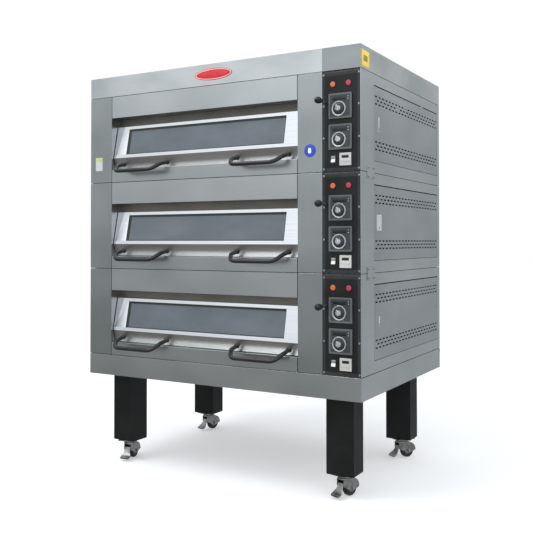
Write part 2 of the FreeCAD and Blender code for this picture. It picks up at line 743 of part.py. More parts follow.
def insulation():
    """Mineral-wool blocks round each chamber."""
    x0 = CHAMBER_LEFT - SHEET
    x1 = CHAMBER_RIGHT + SHEET
    y0 = FRONT + CHAMBER_FRONT
    y1 = FRONT + CHAMBER_BACK + SHEET

    def deck(z):
        z0 = z + PAN_TOP
        z1 = z + ROOM_TOP
        right = block(x1, FIREWALL_X, y0, INNER_BACK, z0, z1)
        right = right.cut(plenum_outer(z)).cut(element_passages(z))
        return [block(-INNER_SIDE, x0, y0, INNER_BACK, z0, z1),
                right,
                block(x0, x1, y1, INNER_BACK, z0, z1),
                block(x0, x1, y0, y1, z + CHAMBER_CEILING + SHEET, z1),
                block(x0, x1, y0, y1, z0, z + CHAMBER_FLOOR - SHEET)]
    return each_deck(deck)


# ---- doors ------------------------------------------------------------------------
def lean(z):
    """Depth of the door's sloping face at a height above the deck's bottom."""
    return DOOR_NOSE + (DOOR_HEAD - DOOR_NOSE) * (z - NOSE_BOTTOM) / (DOOR_TOP - NOSE_BOTTOM)


def outline_at(deck_z, points):
    """(y, z) outline from (depth, height) points of a deck."""
    return [(FRONT + depth, deck_z + height) for depth, height in points]


def door_frame(z):
    """Two rails and two stiles, bored at both ends for the hinge pins."""
    bottom = [(DOOR_FOOT, DOOR_BOTTOM), (DOOR_NOSE, NOSE_BOTTOM), (lean(NOSE_TOP), NOSE_TOP),
              (DOOR_BACK, NOSE_TOP), (DOOR_BACK, DOOR_BOTTOM)]
    stile = [(lean(NOSE_TOP), NOSE_TOP), (lean(WINDOW_TOP), WINDOW_TOP),
             (DOOR_BACK, WINDOW_TOP), (DOOR_BACK, NOSE_TOP)]
    top = [(lean(WINDOW_TOP), WINDOW_TOP), (DOOR_HEAD, DOOR_TOP),
           (DOOR_BACK, DOOR_TOP), (DOOR_BACK, WINDOW_TOP)]
    head = prism_x(outline_at(z, top), DOOR_LEFT, DOOR_RIGHT)
    pin_depth = 14.0
    for x0, x1 in ((DOOR_LEFT - 1, DOOR_LEFT + pin_depth), (DOOR_RIGHT - pin_depth, DOOR_RIGHT + 1)):
        head = head.cut(rod_x(PIN_R + FIT, x0, x1, FRONT + HINGE_DEPTH, z + HINGE_Z))
    return [prism_x(outline_at(z, bottom), DOOR_LEFT, DOOR_RIGHT),
            prism_x(outline_at(z, stile), DOOR_LEFT, GLASS_LEFT),
            prism_x(outline_at(z, stile), GLASS_RIGHT, DOOR_RIGHT),
            head]


def door_glass(z):
    """Sloping outer pane and upright inner pane."""
    recess = 4.0
    thick = 5.0
    low = lean(NOSE_TOP) + recess
    high = lean(WINDOW_TOP) + recess
    outer = [(low, NOSE_TOP), (high, WINDOW_TOP), (high + thick, WINDOW_TOP), (low + thick, NOSE_TOP)]
    inner = [(DOOR_BACK - 7, NOSE_TOP), (DOOR_BACK - 7, WINDOW_TOP),
             (DOOR_BACK - 3, WINDOW_TOP), (DOOR_BACK - 3, NOSE_TOP)]
    return [prism_x(outline_at(z, outer), GLASS_LEFT, GLASS_RIGHT),
            prism_x(outline_at(z, inner), GLASS_LEFT, GLASS_RIGHT)]


def rounded_path(corners, radius):
    """Wire of straight runs joined by tangent arcs of one radius."""
    edges = []
    last = corners[0]
    for before, corner, after in zip(corners, corners[1:], corners[2:]):
        back = (before - corner).normalize()
        ahead = (after - corner).normalize()
        half = math.acos(back.dot(ahead)) / 2
        reach = radius / math.tan(half)
        start = corner + back * reach
        end = corner + ahead * reach
        bisector = (back + ahead).normalize()
        middle = corner + bisector * (radius / math.sin(half) - radius)
        edges.append(Part.LineSegment(last, start).toShape())
        edges.append(Part.Arc(start, middle, end).toShape())
        last = end
    edges.append(Part.LineSegment(last, corners[-1]).toShape())
    return Part.Wire(edges)


def handle(x, z, band):
    """Bow handle: two feet on the door's lower band and a low, forward grip."""
    behind_band = FRONT + DOOR_FOOT - 1
    corners = []
    for side in (-1, 1):
        run = [V(x + side * HANDLE_HALF, behind_band, z + HANDLE_FOOT_Z),
               V(x + side * HANDLE_HALF, FRONT - HANDLE_KNEE, z + HANDLE_KNEE_Z),
               V(x + side * HANDLE_GRIP_HALF, FRONT - HANDLE_REACH, z + HANDLE_GRIP_Z)]
        corners += run if side < 0 else run[::-1]
    path = rounded_path(corners, HANDLE_BEND_R)
    section = Part.Wire(Part.Circle(corners[0], corners[1] - corners[0], HANDLE_R).toShape())
    bar = path.makePipeShell([section], True, False)
    for side in (-1, 1):
        foot = V(x + side * HANDLE_HALF, FRONT + 12.0, z + HANDLE_FOOT_Z - 3.0)
        bar = bar.fuse(Part.makeCylinder(HANDLE_FLANGE_R, 20.0, foot, V(0, 1, 0.35)))
    bar = bar.cut(band)
    outside = block(x - 2 * HANDLE_HALF, x + 2 * HANDLE_HALF, FRONT - 2 * HANDLE_REACH, behind_band - 1,
                    z, z + NOSE_TOP)
    return bar.common(outside).Solids[0]


def door_handles(z):
    band = door_frame(z)[0]
    return [handle(DOOR_MID + side * HANDLE_OFFSET, z, band) for side in (-1, 1)]


def door_hinge_pins():
    """Pin blocks behind the cheeks, with the pins that the doors swing on."""
    def deck(z):
        y = FRONT + HINGE_DEPTH
        mid = z + HINGE_Z
        solids = []
        for wall, inward in ((OPENING_LEFT - SHEET, 1), (OPENING_RIGHT + SHEET, -1)):
            near, far = sorted((wall, wall - inward * PIN_BLOCK_W))
            body = block(near, far, y - PIN_BLOCK_AHEAD, FRONT + MOUTH_DEPTH,
                         mid - PIN_BLOCK_HALF, mid + PIN_BLOCK_HALF)
            tip = wall + inward * (SHEET + DOOR_GAP + PIN_REACH)
            start, end = sorted((wall, tip))
            solids.append(body.fuse(rod_x(PIN_R, start, end, y, mid)).removeSplitter())
        return solids
    return each_deck(deck)


# ---- control bay --------------------------------------------------------------------
def square_y(size, y0, y1, x, z):
    half = size / 2
    return block(x - half, x + half, y0, y1, z - half, z + half)


def control_panels():
    """Black panel of each deck, cut out for its instruments."""
    def deck(z):
        y1 = FRONT + PANEL_T
        plate = block(PANEL_LEFT, PANEL_RIGHT, FRONT, y1, z + PANEL_BOTTOM, z + PANEL_TOP)
        cuts = [square_y(METER_SIZE - 5, FRONT - 1, y1 + 1, METER_X, z + h) for h in METER_Z.values()]
        cuts.append(square_y(TIMER_SIZE - 3, FRONT - 1, y1 + 1, TIMER_X, z + TIMER_Z))
        cuts.append(block(ROCKER_X - 10.7, ROCKER_X + 10.7, FRONT - 1, y1 + 1,
                          z + ROCKER_Z - 15.2, z + ROCKER_Z + 15.2))
        for x in LAMP_X.values():
            cuts.append(rod_y(LAMP_BODY_R + 0.2, FRONT - 1, y1 + 1, x, z + LAMP_Z))
        cuts.append(rod_y(ROD_R + FIT, FRONT - 1, y1 + 1, ROD_X, z + ROD_Z))
        return [plate.cut(Part.makeCompound(cuts))]
    return each_deck(deck)


def controllers():
    """Heat controllers: square bezel, deep case and a bore for the dial's shaft."""
    def deck(z):
        solids = []
        for height in METER_Z.values():
            mid = z + height
            bezel = square_y(METER_SIZE, FRONT - METER_THICK, FRONT, METER_X, mid)
            case = square_y(METER_SIZE - 6, FRONT, FRONT + METER_CASE, METER_X, mid)
            bore = rod_y(DIAL_SHAFT_R + FIT, FRONT - 6, FRONT + 16, DIAL_X, mid - DIAL_DROP)
            solids.append(bezel.fuse(case).cut(bore).removeSplitter())
        return solids
    return each_deck(deck)


def dial(z, height):
    """Skirted dial with a finger bar and its shaft."""
    mid = z + height - DIAL_DROP
    face = FRONT - METER_THICK - DIAL_GAP
    front = face - DIAL_SKIRT_T
    skirt = rod_y(DIAL_R, front, face, DIAL_X, mid)
    hub = rod_y(DIAL_HUB_R, front - DIAL_HUB_T, front, DIAL_X, mid)
    bar = block(DIAL_X - DIAL_BAR_HALF, DIAL_X + DIAL_BAR_HALF, front - DIAL_BAR_T, front,
                mid - DIAL_HUB_R, mid + DIAL_POINTER)
    shaft = rod_y(DIAL_SHAFT_R, face, FRONT + DIAL_SHAFT_IN, DIAL_X, mid)
    return skirt.fuse([hub, bar, shaft]).removeSplitter()


def timers():
    """Small square timers; their keys are a printed film."""
    def deck(z):
        mid = z + TIMER_Z
        bezel = square_y(TIMER_SIZE, FRONT - 4, FRONT, TIMER_X, mid)
        case = square_y(TIMER_SIZE - 4, FRONT, FRONT + TIMER_CASE, TIMER_X, mid)
        return [bezel.fuse(case).removeSplitter()]
    return each_deck(deck)


def pilot_lamps(colour):
    """Domed lamp lenses with the bodies behind them."""
    def deck(z):
        x = LAMP_X[colour]
        lens = rod_y(LAMP_R, FRONT - 5, FRONT, x, z + LAMP_Z)
        rim = [edge for edge in lens.Edges if edge.CenterOfMass.y < FRONT - 4.9]
        lens = lens.makeFillet(3.0, rim)
        body = rod_y(LAMP_BODY_R, FRONT, FRONT + 24, x, z + LAMP_Z)
        return [lens.fuse(body).removeSplitter()]
    return each_deck(deck)


def rocker_frames():
    """Switch frames with a pin across for the rocker."""
    def part(half_w, half_h, y0, y1, mid):
        return block(ROCKER_X - half_w, ROCKER_X + half_w, y0, y1, mid - half_h, mid + half_h)

    def deck(z):
        mid = z + ROCKER_Z
        flange = part(*SWITCH_FLANGE, FRONT - SWITCH_FLANGE_T, FRONT, mid)
        tube = part(*SWITCH_TUBE, FRONT, FRONT + SWITCH_DEPTH, mid)
        well = part(*SWITCH_WELL, FRONT - SWITCH_FLANGE_T - 1, FRONT + SWITCH_DEPTH - SWITCH_FLANGE_T, mid)
        reach = SWITCH_WELL[0] + SWITCH_PIN_IN
        pin = rod_x(SWITCH_PIN_R, ROCKER_X - reach, ROCKER_X + reach, FRONT + SWITCH_PIN_Y, mid)
        return [flange.fuse(tube).cut(well).fuse(pin).removeSplitter()]
    return each_deck(deck)


def rocker(z):
    """Rocker button, shown tipped to its rest side."""
    pivot_y = FRONT + SWITCH_PIN_Y
    mid = z + ROCKER_Z
    placed = [(pivot_y + depth, mid + height) for depth, height in ROCKER_OUTLINE]
    body = prism_x(placed, ROCKER_X - ROCKER_HALF, ROCKER_X + ROCKER_HALF)
    bore_half = ROCKER_HALF + 1
    body = body.cut(rod_x(SWITCH_PIN_R + FIT, ROCKER_X - bore_half, ROCKER_X + bore_half, pivot_y, mid))
    body.rotate(V(ROCKER_X, pivot_y, mid), V(1, 0, 0), -ROCKER_REST)
    return body


def damper_pull(z):
    """Knob, long rod and the disc that closes the steam spigot when pushed in."""
    mid = z + ROD_Z
    tip = FRONT - KNOB_REACH
    radius = 13.0
    knob = Part.makeCylinder(radius, 40.0, V(ROD_X, tip, mid), V(0, 1, 0))
    ends = [edge for edge in knob.Edges if abs(edge.Length - 2 * math.pi * radius) < 0.1]
    knob = knob.makeFillet(6.0, ends)
    seat_y = INNER_BACK - SHEET - 1.0
    disc = rod_y(SPIGOT_R + 6.0, seat_y - DAMPER_TRAVEL - 3.0, seat_y - DAMPER_TRAVEL, ROD_X, mid)
    shaft = rod_y(ROD_R, tip + 30, seat_y - DAMPER_TRAVEL - 1, ROD_X, mid)
    return knob.fuse([disc, shaft]).removeSplitter()


def recess_bars():
    """Half lengths and half widths of the two bars of a cross recess."""
    return ((RECESS_LEN, RECESS_WIDTH), (RECESS_WIDTH, RECESS_LEN))


def screw_y(x, y, z, outward=-1):
    """Pan-head screw with its head on a front or rear skin."""
    outer = y + outward * SCREW_HEAD_H
    body = rod_y(SCREW_HEAD_R, min(y, outer), max(y, outer), x, z)
    rim = [edge for edge in body.Edges if abs(edge.CenterOfMass.y - outer) < 0.01]
    body = body.makeFillet(SCREW_ROUND, rim)
    for half_x, half_z in recess_bars():
        body = body.cut(block(x - half_x, x + half_x, outer - SCREW_ROUND, outer + SCREW_ROUND,
                              z - half_z, z + half_z))
    return body


def screw_x(sign, y, z):
    """Pan-head screw on a link plate."""
    foot = sign * (SIDE + LINK_T)
    outer = foot + sign * SCREW_HEAD_H
    body = rod_x(SCREW_HEAD_R, min(foot, outer), max(foot, outer), y, z)
    rim = [edge for edge in body.Edges if abs(edge.CenterOfMass.x - outer) < 0.01]
    body = body.makeFillet(SCREW_ROUND, rim)
    for half_y, half_z in recess_bars():
        body = body.cut(block(outer - SCREW_ROUND, outer + SCREW_ROUND, y - half_y, y + half_y,
                              z - half_z, z + half_z))
    return body


def fasteners():
    """Screws of the control panels, the rear panels and the link plates."""
    solids = []
    for name in DECKS:
        z = DECK_Z[name]
        for x in SCREW_X:
            solids += [screw_y(x, FRONT, z + row) for row in SCREW_ROWS]
        for x in REAR_SCREW_X:
            solids += [screw_y(x, BACK, z + row, 1) for row in (REAR_SCREW_INSET, DECK_H - REAR_SCREW_INSET)]
    for sign in (1, -1):
        for z in link_heights():
            for dy in (-LINK_SCREW_Y, LINK_SCREW_Y):
                solids += [screw_x(sign, LINK_Y + dy, z + dz) for dz in (-LINK_SCREW_Z, LINK_SCREW_Z)]
    return solids


def hexagon_y(across, y0, y1, x, z):
    radius = across / math.sqrt(3)
    corners = [(x + radius * math.cos(math.radians(60 * i)), z + radius * math.sin(math.radians(60 * i)))
               for i in range(6)]
    return prism_y(corners, y0, y1)


def cable_gland():
    """Supply-cable gland through the back of the plinth, with its lock nut inside."""
    inner_end = INNER_BACK - GLAND_THREAD
    outer_end = BACK + GLAND_COLLAR_T + GLAND_DOME_T
    thread = rod_y(GLAND_R - FIT_THREAD, inner_end, BACK, GLAND_X, GLAND_Z)
    collar = hexagon_y(GLAND_COLLAR, BACK, BACK + GLAND_COLLAR_T, GLAND_X, GLAND_Z)
    dome = rod_y(GLAND_DOME_R, BACK + GLAND_COLLAR_T, outer_end, GLAND_X, GLAND_Z)
    nut = hexagon_y(GLAND_NUT, INNER_BACK - GLAND_NUT_T, INNER_BACK, GLAND_X, GLAND_Z)
    bore = rod_y(GLAND_BORE, inner_end - 1, outer_end + 1, GLAND_X, GLAND_Z)
    return [thread.fuse([collar, dome, nut]).cut(bore).removeSplitter()]


# ---- all sub-parts -----------------------------------------------------------------
def build():
    """Solids of every sub-part, by name."""
    nodes = {
        "base_plinth": base_plinth(),
        "legs": legs(),
        "caster_plates": [place_caster(caster_plate(), corner) for corner in CASTER_TURN],
        "hood": hood(),
        "deck_frames": deck_frames(),
        "front_pillars": front_pillars(),
        "front_fascias": front_fascias(),
        "front_sills": front_sills(),
        "side_frames": side_frames(),
        "side_covers": side_covers(),
        "rear_panels": rear_panels(),
        "chamber_shells": chamber_shells(),
        "mouth_gaskets": mouth_gaskets(),
        "hearth_stones": hearth_stones(),
        "heating_elements": heating_elements(),
        "insulation": insulation(),
        "door_hinge_pins": door_hinge_pins(),
        "control_panels": control_panels(),
        "controllers": controllers(),
        "timers": timers(),
        "pilot_lamps_orange": pilot_lamps("orange"),
        "pilot_lamps_red": pilot_lamps("red"),
        "rocker_frames": rocker_frames(),
        "fasteners": fasteners(),
        "deck_link_plates": deck_link_plates(),
        "steam_outlets": steam_outlets(),
        "cable_gland": cable_gland(),
    }
    for name in DECKS:
        z = DECK_Z[name]
        nodes["door_frame_" + name] = door_frame(z)
        nodes["door_glass_" + name] = door_glass(z)
        nodes["door_handles_" + name] = door_handles(z)
        nodes["damper_pull_" + name] = [damper_pull(z)]
        nodes["rocker_" + name] = [rocker(z)]
        for heat, height in METER_Z.items():
            nodes["dial_" + name + "_" + heat] = [dial(z, height)]
    for corner in CASTER_TURN:
        nodes["caster_fork_" + corner] = [place_caster(caster_fork(), corner)]
        nodes["caster_wheel_" + corner] = [place_caster(caster_wheel(), corner)]
        nodes["caster_brake_" + corner] = [place_caster(caster_brake(), corner)]
    return nodes


def main():
    os.makedirs("parts", exist_ok=True)
    for name, solids in build().items():
        shape = solids[0] if len(solids) == 1 else Part.makeCompound(solids)
        if not shape.isValid():
            raise RuntimeError("bad solid in " + name)
        shape.exportStep("parts/" + name + ".step")


main()
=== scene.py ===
"""Looks of the three-deck bakery oven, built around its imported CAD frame.

Metres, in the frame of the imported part: the origin is on the floor under the
middle of the oven, and the front faces -Y.
"""
import json
import math

import bmesh
import bpy
from mathutils import Matrix, Vector


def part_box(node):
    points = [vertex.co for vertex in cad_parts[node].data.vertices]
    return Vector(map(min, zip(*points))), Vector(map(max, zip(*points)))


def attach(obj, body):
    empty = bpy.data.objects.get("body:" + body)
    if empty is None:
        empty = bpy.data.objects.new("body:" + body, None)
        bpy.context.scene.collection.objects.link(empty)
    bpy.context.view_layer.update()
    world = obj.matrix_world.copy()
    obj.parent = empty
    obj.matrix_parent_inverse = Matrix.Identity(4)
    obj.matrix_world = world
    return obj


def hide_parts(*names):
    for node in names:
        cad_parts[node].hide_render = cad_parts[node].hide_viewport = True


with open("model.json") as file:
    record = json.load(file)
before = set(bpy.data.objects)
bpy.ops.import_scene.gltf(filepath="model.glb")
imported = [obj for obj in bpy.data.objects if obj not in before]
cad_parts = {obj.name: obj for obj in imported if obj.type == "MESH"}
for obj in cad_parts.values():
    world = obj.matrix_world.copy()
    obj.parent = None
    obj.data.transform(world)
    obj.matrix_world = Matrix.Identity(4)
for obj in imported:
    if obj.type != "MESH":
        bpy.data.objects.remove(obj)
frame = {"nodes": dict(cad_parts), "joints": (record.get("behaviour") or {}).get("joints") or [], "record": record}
NODES = frame["nodes"]
JOINTS = {joint["name"]: joint for joint in frame["joints"]}
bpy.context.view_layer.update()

DECKS = ["lower", "middle", "upper"]
HEATS = ["topheat", "bottomheat"]
CORNERS = ["front_left", "front_right", "rear_left", "rear_right"]

# ---- places, from the frame ------------------------------------------------------
PLINTH_LOW, PLINTH_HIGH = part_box("base_plinth")
HOOD_LOW, HOOD_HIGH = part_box("hood")
PANEL_LOW, PANEL_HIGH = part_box("control_panels")
FRONT_Y = PLINTH_LOW.y
BACK_Y = PLINTH_HIGH.y
SIDE_X = PLINTH_HIGH.x

DOOR_BOTTOM = 0.059        # door above the bottom of its deck
WINDOW_BOTTOM = 0.124
WINDOW_TOP = 0.239
DOOR_LEAN = math.atan(30.0 / 142.0)
LIP_EDGE = PANEL_LOW.x + 0.0005        # left end of the hood's lip over the control bay


def deck_z(deck):
    """Height of the bottom of a deck."""
    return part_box("door_frame_" + deck)[0].z - DOOR_BOTTOM


# ---- materials -------------------------------------------------------------------
class Paint:
    """One node material on a Principled shader, with short-hand for its detail."""

    def __init__(self, name, color, roughness, metallic=0.0, **sockets):
        self.material = bpy.data.materials.new(name)
        self.material.use_nodes = True
        self.nodes = self.material.node_tree.nodes
        self.links = self.material.node_tree.links
        self.shader = self.nodes["Principled BSDF"]
        self.set("Base Color", (*color, 1.0))
        self.set("Roughness", roughness)
        self.set("Metallic", metallic)
        for socket, value in sockets.items():
            self.set(socket.replace("_", " "), value)
        self.coordinates = self.nodes.new("ShaderNodeTexCoord")

    def set(self, socket, value):
        self.shader.inputs[socket].default_value = value

    def noise(self, scale, stretch=(1, 1, 1), detail=3.0):
        """Noise in the object's own metres; stretch multiplies each axis."""
        mapping = self.nodes.new("ShaderNodeMapping")
        mapping.inputs["Scale"].default_value = stretch
        texture = self.nodes.new("ShaderNodeTexNoise")
        texture.inputs["Scale"].default_value = scale
        texture.inputs["Detail"].default_value = detail
        self.links.new(self.coordinates.outputs["Object"], mapping.inputs["Vector"])
        self.links.new(mapping.outputs["Vector"], texture.inputs["Vector"])
        return texture.outputs["Fac"]

    def cells(self, scale):
        """Distance field of scattered cells."""
        texture = self.nodes.new("ShaderNodeTexVoronoi")
        texture.inputs["Scale"].default_value = scale
        self.links.new(self.coordinates.outputs["Object"], texture.inputs["Vector"])
        return texture.outputs["Distance"]

    def waves(self, scale, direction):
        """Parallel ridges across one axis."""
        texture = self.nodes.new("ShaderNodeTexWave")
        texture.bands_direction = direction
        texture.inputs["Scale"].default_value = scale
        self.links.new(self.coordinates.outputs["Object"], texture.inputs["Vector"])
        return texture.outputs["Fac"]

    def place(self, axis, low, high):
        """0 to 1 between two places along an axis of the object."""
        split = self.nodes.new("ShaderNodeSeparateXYZ")
        self.links.new(self.coordinates.outputs["Object"], split.inputs["Vector"])
        return self.span(split.outputs[axis], low, high, 0.0, 1.0)

    def both(self, a, b):
        """Product of two values."""
        node = self.nodes.new("ShaderNodeMath")
        node.operation = "MULTIPLY"
        self.links.new(a, node.inputs[0])
        self.links.new(b, node.inputs[1])
        return node.outputs["Value"]

    def facing(self, axis, low, high):
        """0 to 1 as the surface turns towards an axis, in the object's own space."""
        split = self.nodes.new("ShaderNodeSeparateXYZ")
        self.links.new(self.coordinates.outputs["Normal"], split.inputs["Vector"])
        return self.span(split.outputs[axis], low, high, 0.0, 1.0)

    def span(self, value, low, high, to_low, to_high):
        node = self.nodes.new("ShaderNodeMapRange")
        for socket, number in (("From Min", low), ("From Max", high),
                               ("To Min", to_low), ("To Max", to_high)):
            node.inputs[socket].default_value = number
        self.links.new(value, node.inputs["Value"])
        return node.outputs["Result"]

    def blend(self, a, b, share):
        """Weighted mean of two values."""
        node = self.nodes.new("ShaderNodeMix")
        node.inputs["Factor"].default_value = share
        self.links.new(a, node.inputs["A"])
        self.links.new(b, node.inputs["B"])
        return node.outputs["Result"]

    def ramp(self, value, dark, light, low=0.35, high=0.65):
        node = self.nodes.new("ShaderNodeValToRGB")
        first, last = node.color_ramp.elements
        first.position, first.color = low, (*dark, 1.0)
        last.position, last.color = high, (*light, 1.0)
        self.links.new(value, node.inputs["Fac"])
        return node.outputs["Color"]

    def mix_colors(self, share, a, b):
        node = self.nodes.new("ShaderNodeMix")
        node.data_type = "RGBA"
        self.links.new(share, node.inputs["Factor"])
        self.links.new(a, node.inputs[6])
        self.links.new(b, node.inputs[7])
        return node.outputs[2]

    def color(self, output):
        self.links.new(output, self.shader.inputs["Base Color"])

    def rough(self, value, low, high):
        self.links.new(self.span(value, 0.3, 0.7, low, high), self.shader.inputs["Roughness"])

    def bump(self, value, strength, distance):
        node = self.nodes.new("ShaderNodeBump")
        node.inputs["Strength"].default_value = strength
        node.inputs["Distance"].default_value = distance
        normal = self.shader.inputs["Normal"]
        if normal.is_linked:
            self.links.new(normal.links[0].from_socket, node.inputs["Normal"])
        self.links.new(value, node.inputs["Height"])
        self.links.new(node.outputs["Normal"], normal)


LEVEL_GRAIN = (4.0, 4.0, 1500.0)
UPRIGHT_GRAIN = (1500.0, 4.0, 4.0)


def brushed_steel(name, dark, light, low, high, stretch=LEVEL_GRAIN):
    """Sheet steel with a fine straight grain and soft cloudy handling marks."""
    paint = Paint(name, light, high, 1.0, Anisotropic=0.3)
    grain = paint.noise(1.0, stretch, 3.0)
    clouds = paint.noise(2.2, (1.0, 1.0, 1.5), 2.5)
    mixed = paint.blend(grain, clouds, 0.72)
    paint.color(paint.ramp(mixed, dark, light, 0.36, 0.64))
    paint.rough(mixed, low, high)
    paint.bump(grain, 0.07, 0.0003)
    return paint


def stainless():
    dark = (0.50, 0.53, 0.535)
    light = (0.64, 0.66, 0.665)
    return brushed_steel("stainless_brushed", dark, light, 0.26, 0.37).material


def sill_stainless():
    """Sheet under the doors, a little smoother than the rest."""
    dark = (0.46, 0.49, 0.49)
    light = (0.58, 0.60, 0.60)
    return brushed_steel("stainless_sill", dark, light, 0.26, 0.34).material


def upright_stainless():
    """Pillar sheet with its grain upright, painted darker than the rest as a painted reflection."""
    # Painted reflection: both tones are darker than the other sheet.
    dark = (0.37, 0.395, 0.395)
    light = (0.48, 0.505, 0.51)
    return brushed_steel("stainless_upright", dark, light, 0.26, 0.37, UPRIGHT_GRAIN).material


def cover_stainless():
    """Side cover sheet, a little duller than the posts beside it."""
    dark = (0.43, 0.455, 0.465)
    light = (0.55, 0.575, 0.585)
    return brushed_steel("stainless_cover", dark, light, 0.30, 0.40).material


def hood_stainless():
    """Cap sheet; the front of the short lip piece over the control bay is painted darker as a painted reflection.
    """
    paint = brushed_steel("stainless_hood", (0.54, 0.57, 0.575), (0.68, 0.70, 0.705), 0.26, 0.37)
    cloudy = paint.noise(3.0, (1.0, 1.0, 2.0), 3.0)
    level = paint.ramp(cloudy, (0.54, 0.57, 0.575), (0.70, 0.72, 0.725))
    # Painted reflection: the darker colour on the lip's forward faces.
    across = paint.ramp(cloudy, (0.30, 0.32, 0.33), (0.38, 0.40, 0.41))
    beyond = paint.place("X", LIP_EDGE - 0.0020, LIP_EDGE)
    forward = paint.facing("Y", -0.4, -0.6)
    paint.color(paint.mix_colors(paint.both(beyond, forward), level, across))
    return paint.material


def door_steel():
    """Polished rails and stiles; the lower band, which faces down, is brushed and painted darker and browner as a
    painted reflection.
    """
    paint = Paint("door_polished", (0.88, 0.89, 0.90), 0.14, 1.0)
    grain = paint.noise(1.0, (4.0, 4.0, 900.0), 3.0)
    bright = paint.ramp(grain, (0.72, 0.735, 0.75), (0.82, 0.835, 0.85))
    # Painted reflection: the faces that look down get a darker, browner colour.
    brushed = paint.ramp(grain, (0.66, 0.66, 0.64), (0.78, 0.78, 0.76))
    down = paint.facing("Z", -0.10, -0.25)
    paint.color(paint.mix_colors(down, bright, brushed))
    paint.links.new(paint.span(down, 0.0, 1.0, 0.13, 0.33), paint.shader.inputs["Roughness"])
    paint.bump(grain, 0.05, 0.0002)
    return paint.material


def tinted_glass():
    paint = Paint("glass_tinted", (0.13, 0.155, 0.18), 0.06, 0.0,
                  Transmission_Weight=0.25, IOR=1.5, Coat_Weight=0.4)
    haze = paint.noise(5.0, (1.0, 1.0, 2.0), 2.0)
    paint.color(paint.ramp(haze, (0.115, 0.138, 0.16), (0.15, 0.178, 0.205)))
    paint.rough(haze, 0.05, 0.11)
    return paint.material


def coated(name, color, low, high, texture=900.0, depth=0.00015, metallic=0.0, **sockets):
    """Powder coat, paint or moulded plastic with a fine orange-peel texture."""
    paint = Paint(name, color, high, metallic, **sockets)
    peel = paint.noise(texture, detail=2.0)
    wear = paint.noise(9.0, detail=4.0)
    lighter = tuple(min(1.0, part * 1.25 + 0.003) for part in color)
    paint.color(paint.ramp(wear, color, lighter))
    paint.rough(wear, low, high)
    paint.bump(peel, 0.25, depth)
    return paint.material


def zinc():
    """Plated steel with the patchy bluish and yellowish tint of passivated zinc."""
    paint = Paint("zinc_plate", (0.55, 0.56, 0.55), 0.35, 1.0)
    patches = paint.noise(60.0, detail=4.0)
    paint.color(paint.ramp(patches, (0.24, 0.25, 0.25), (0.42, 0.42, 0.39)))
    paint.rough(patches, 0.26, 0.46)
    paint.bump(paint.noise(700.0), 0.08, 0.0002)
    return paint.material


def chassis_steel():
    paint = Paint("chassis_galvanised", (0.10, 0.10, 0.105), 0.5, 0.8)
    spangle = paint.cells(90.0)
    paint.color(paint.ramp(spangle, (0.07, 0.07, 0.075), (0.13, 0.13, 0.135), 0.2, 0.8))
    paint.rough(spangle, 0.42, 0.60)
    return paint.material


def chamber_steel():
    """Aluminised steel, browned by heat in uneven patches."""
    paint = Paint("chamber_heat_tinted", (0.20, 0.16, 0.12), 0.5, 0.85)
    tint = paint.noise(7.0, (1.0, 1.0, 2.5), 5.0)
    paint.color(paint.ramp(tint, (0.21, 0.195, 0.17), (0.36, 0.345, 0.315), 0.3, 0.7))
    paint.rough(tint, 0.40, 0.62)
    paint.bump(paint.noise(400.0), 0.1, 0.0003)
    return paint.material


def woven_seal():
    paint = Paint("heat_seal_weave", (0.10, 0.10, 0.09), 0.9)
    warp = paint.waves(420.0, "X")
    weft = paint.waves(420.0, "Z")
    weave = paint.blend(warp, weft, 0.5)
    paint.color(paint.ramp(weave, (0.05, 0.05, 0.045), (0.14, 0.14, 0.125), 0.3, 0.7))
    paint.bump(weave, 0.5, 0.0006)
    return paint.material


def baking_stone():
    """Fired slab: pores, grit and the browned patches left by loaves."""
    paint = Paint("hearth_stone", (0.52, 0.46, 0.38), 0.92)
    scorch = paint.noise(5.0, detail=4.0)
    paint.color(paint.ramp(scorch, (0.30, 0.235, 0.165), (0.56, 0.50, 0.42), 0.32, 0.60))
    paint.bump(paint.noise(260.0, detail=6.0), 0.5, 0.0012)
    paint.bump(paint.cells(140.0), 0.25, 0.0010)
    return paint.material


def heater_sheath():
    paint = Paint("heater_oxide", (0.14, 0.13, 0.13), 0.55, 0.9)
    scale = paint.noise(120.0, detail=5.0)
    paint.color(paint.ramp(scale, (0.07, 0.062, 0.058), (0.20, 0.185, 0.18)))
    paint.rough(scale, 0.45, 0.75)
    return paint.material


def mineral_wool():
    paint = Paint("mineral_wool", (0.46, 0.42, 0.28), 0.98, Sheen_Weight=0.3)
    fibre = paint.noise(60.0, (1.0, 6.0, 1.0), 8.0)
    paint.color(paint.ramp(fibre, (0.34, 0.30, 0.19), (0.55, 0.51, 0.36)))
    paint.bump(fibre, 0.9, 0.004)
    return paint.material


def screw_steel():
    paint = Paint("screw_steel", (0.62, 0.63, 0.63), 0.28, 1.0)
    turned = paint.noise(500.0, detail=3.0)
    paint.color(paint.ramp(turned, (0.34, 0.35, 0.35), (0.52, 0.53, 0.53)))
    paint.rough(turned, 0.30, 0.46)
    return paint.material


def rubber():
    paint = Paint("tyre_rubber", (0.02, 0.02, 0.02), 0.75)
    dust = paint.noise(80.0, detail=5.0)
    paint.color(paint.ramp(dust, (0.012, 0.012, 0.012), (0.05, 0.048, 0.045), 0.4, 0.8))
    paint.rough(dust, 0.65, 0.85)
    paint.bump(paint.noise(900.0), 0.3, 0.0003)
    return paint.material


def lens(name, color, glow):
    paint = Paint(name, color, 0.15, Coat_Weight=0.6, Emission_Strength=glow)
    paint.set("Emission Color", (*color, 1.0))
    ridges = paint.waves(700.0, "Z")
    paint.color(paint.ramp(ridges, tuple(0.75 * part for part in color), color))
    paint.bump(ridges, 0.2, 0.0002)
    return paint.material


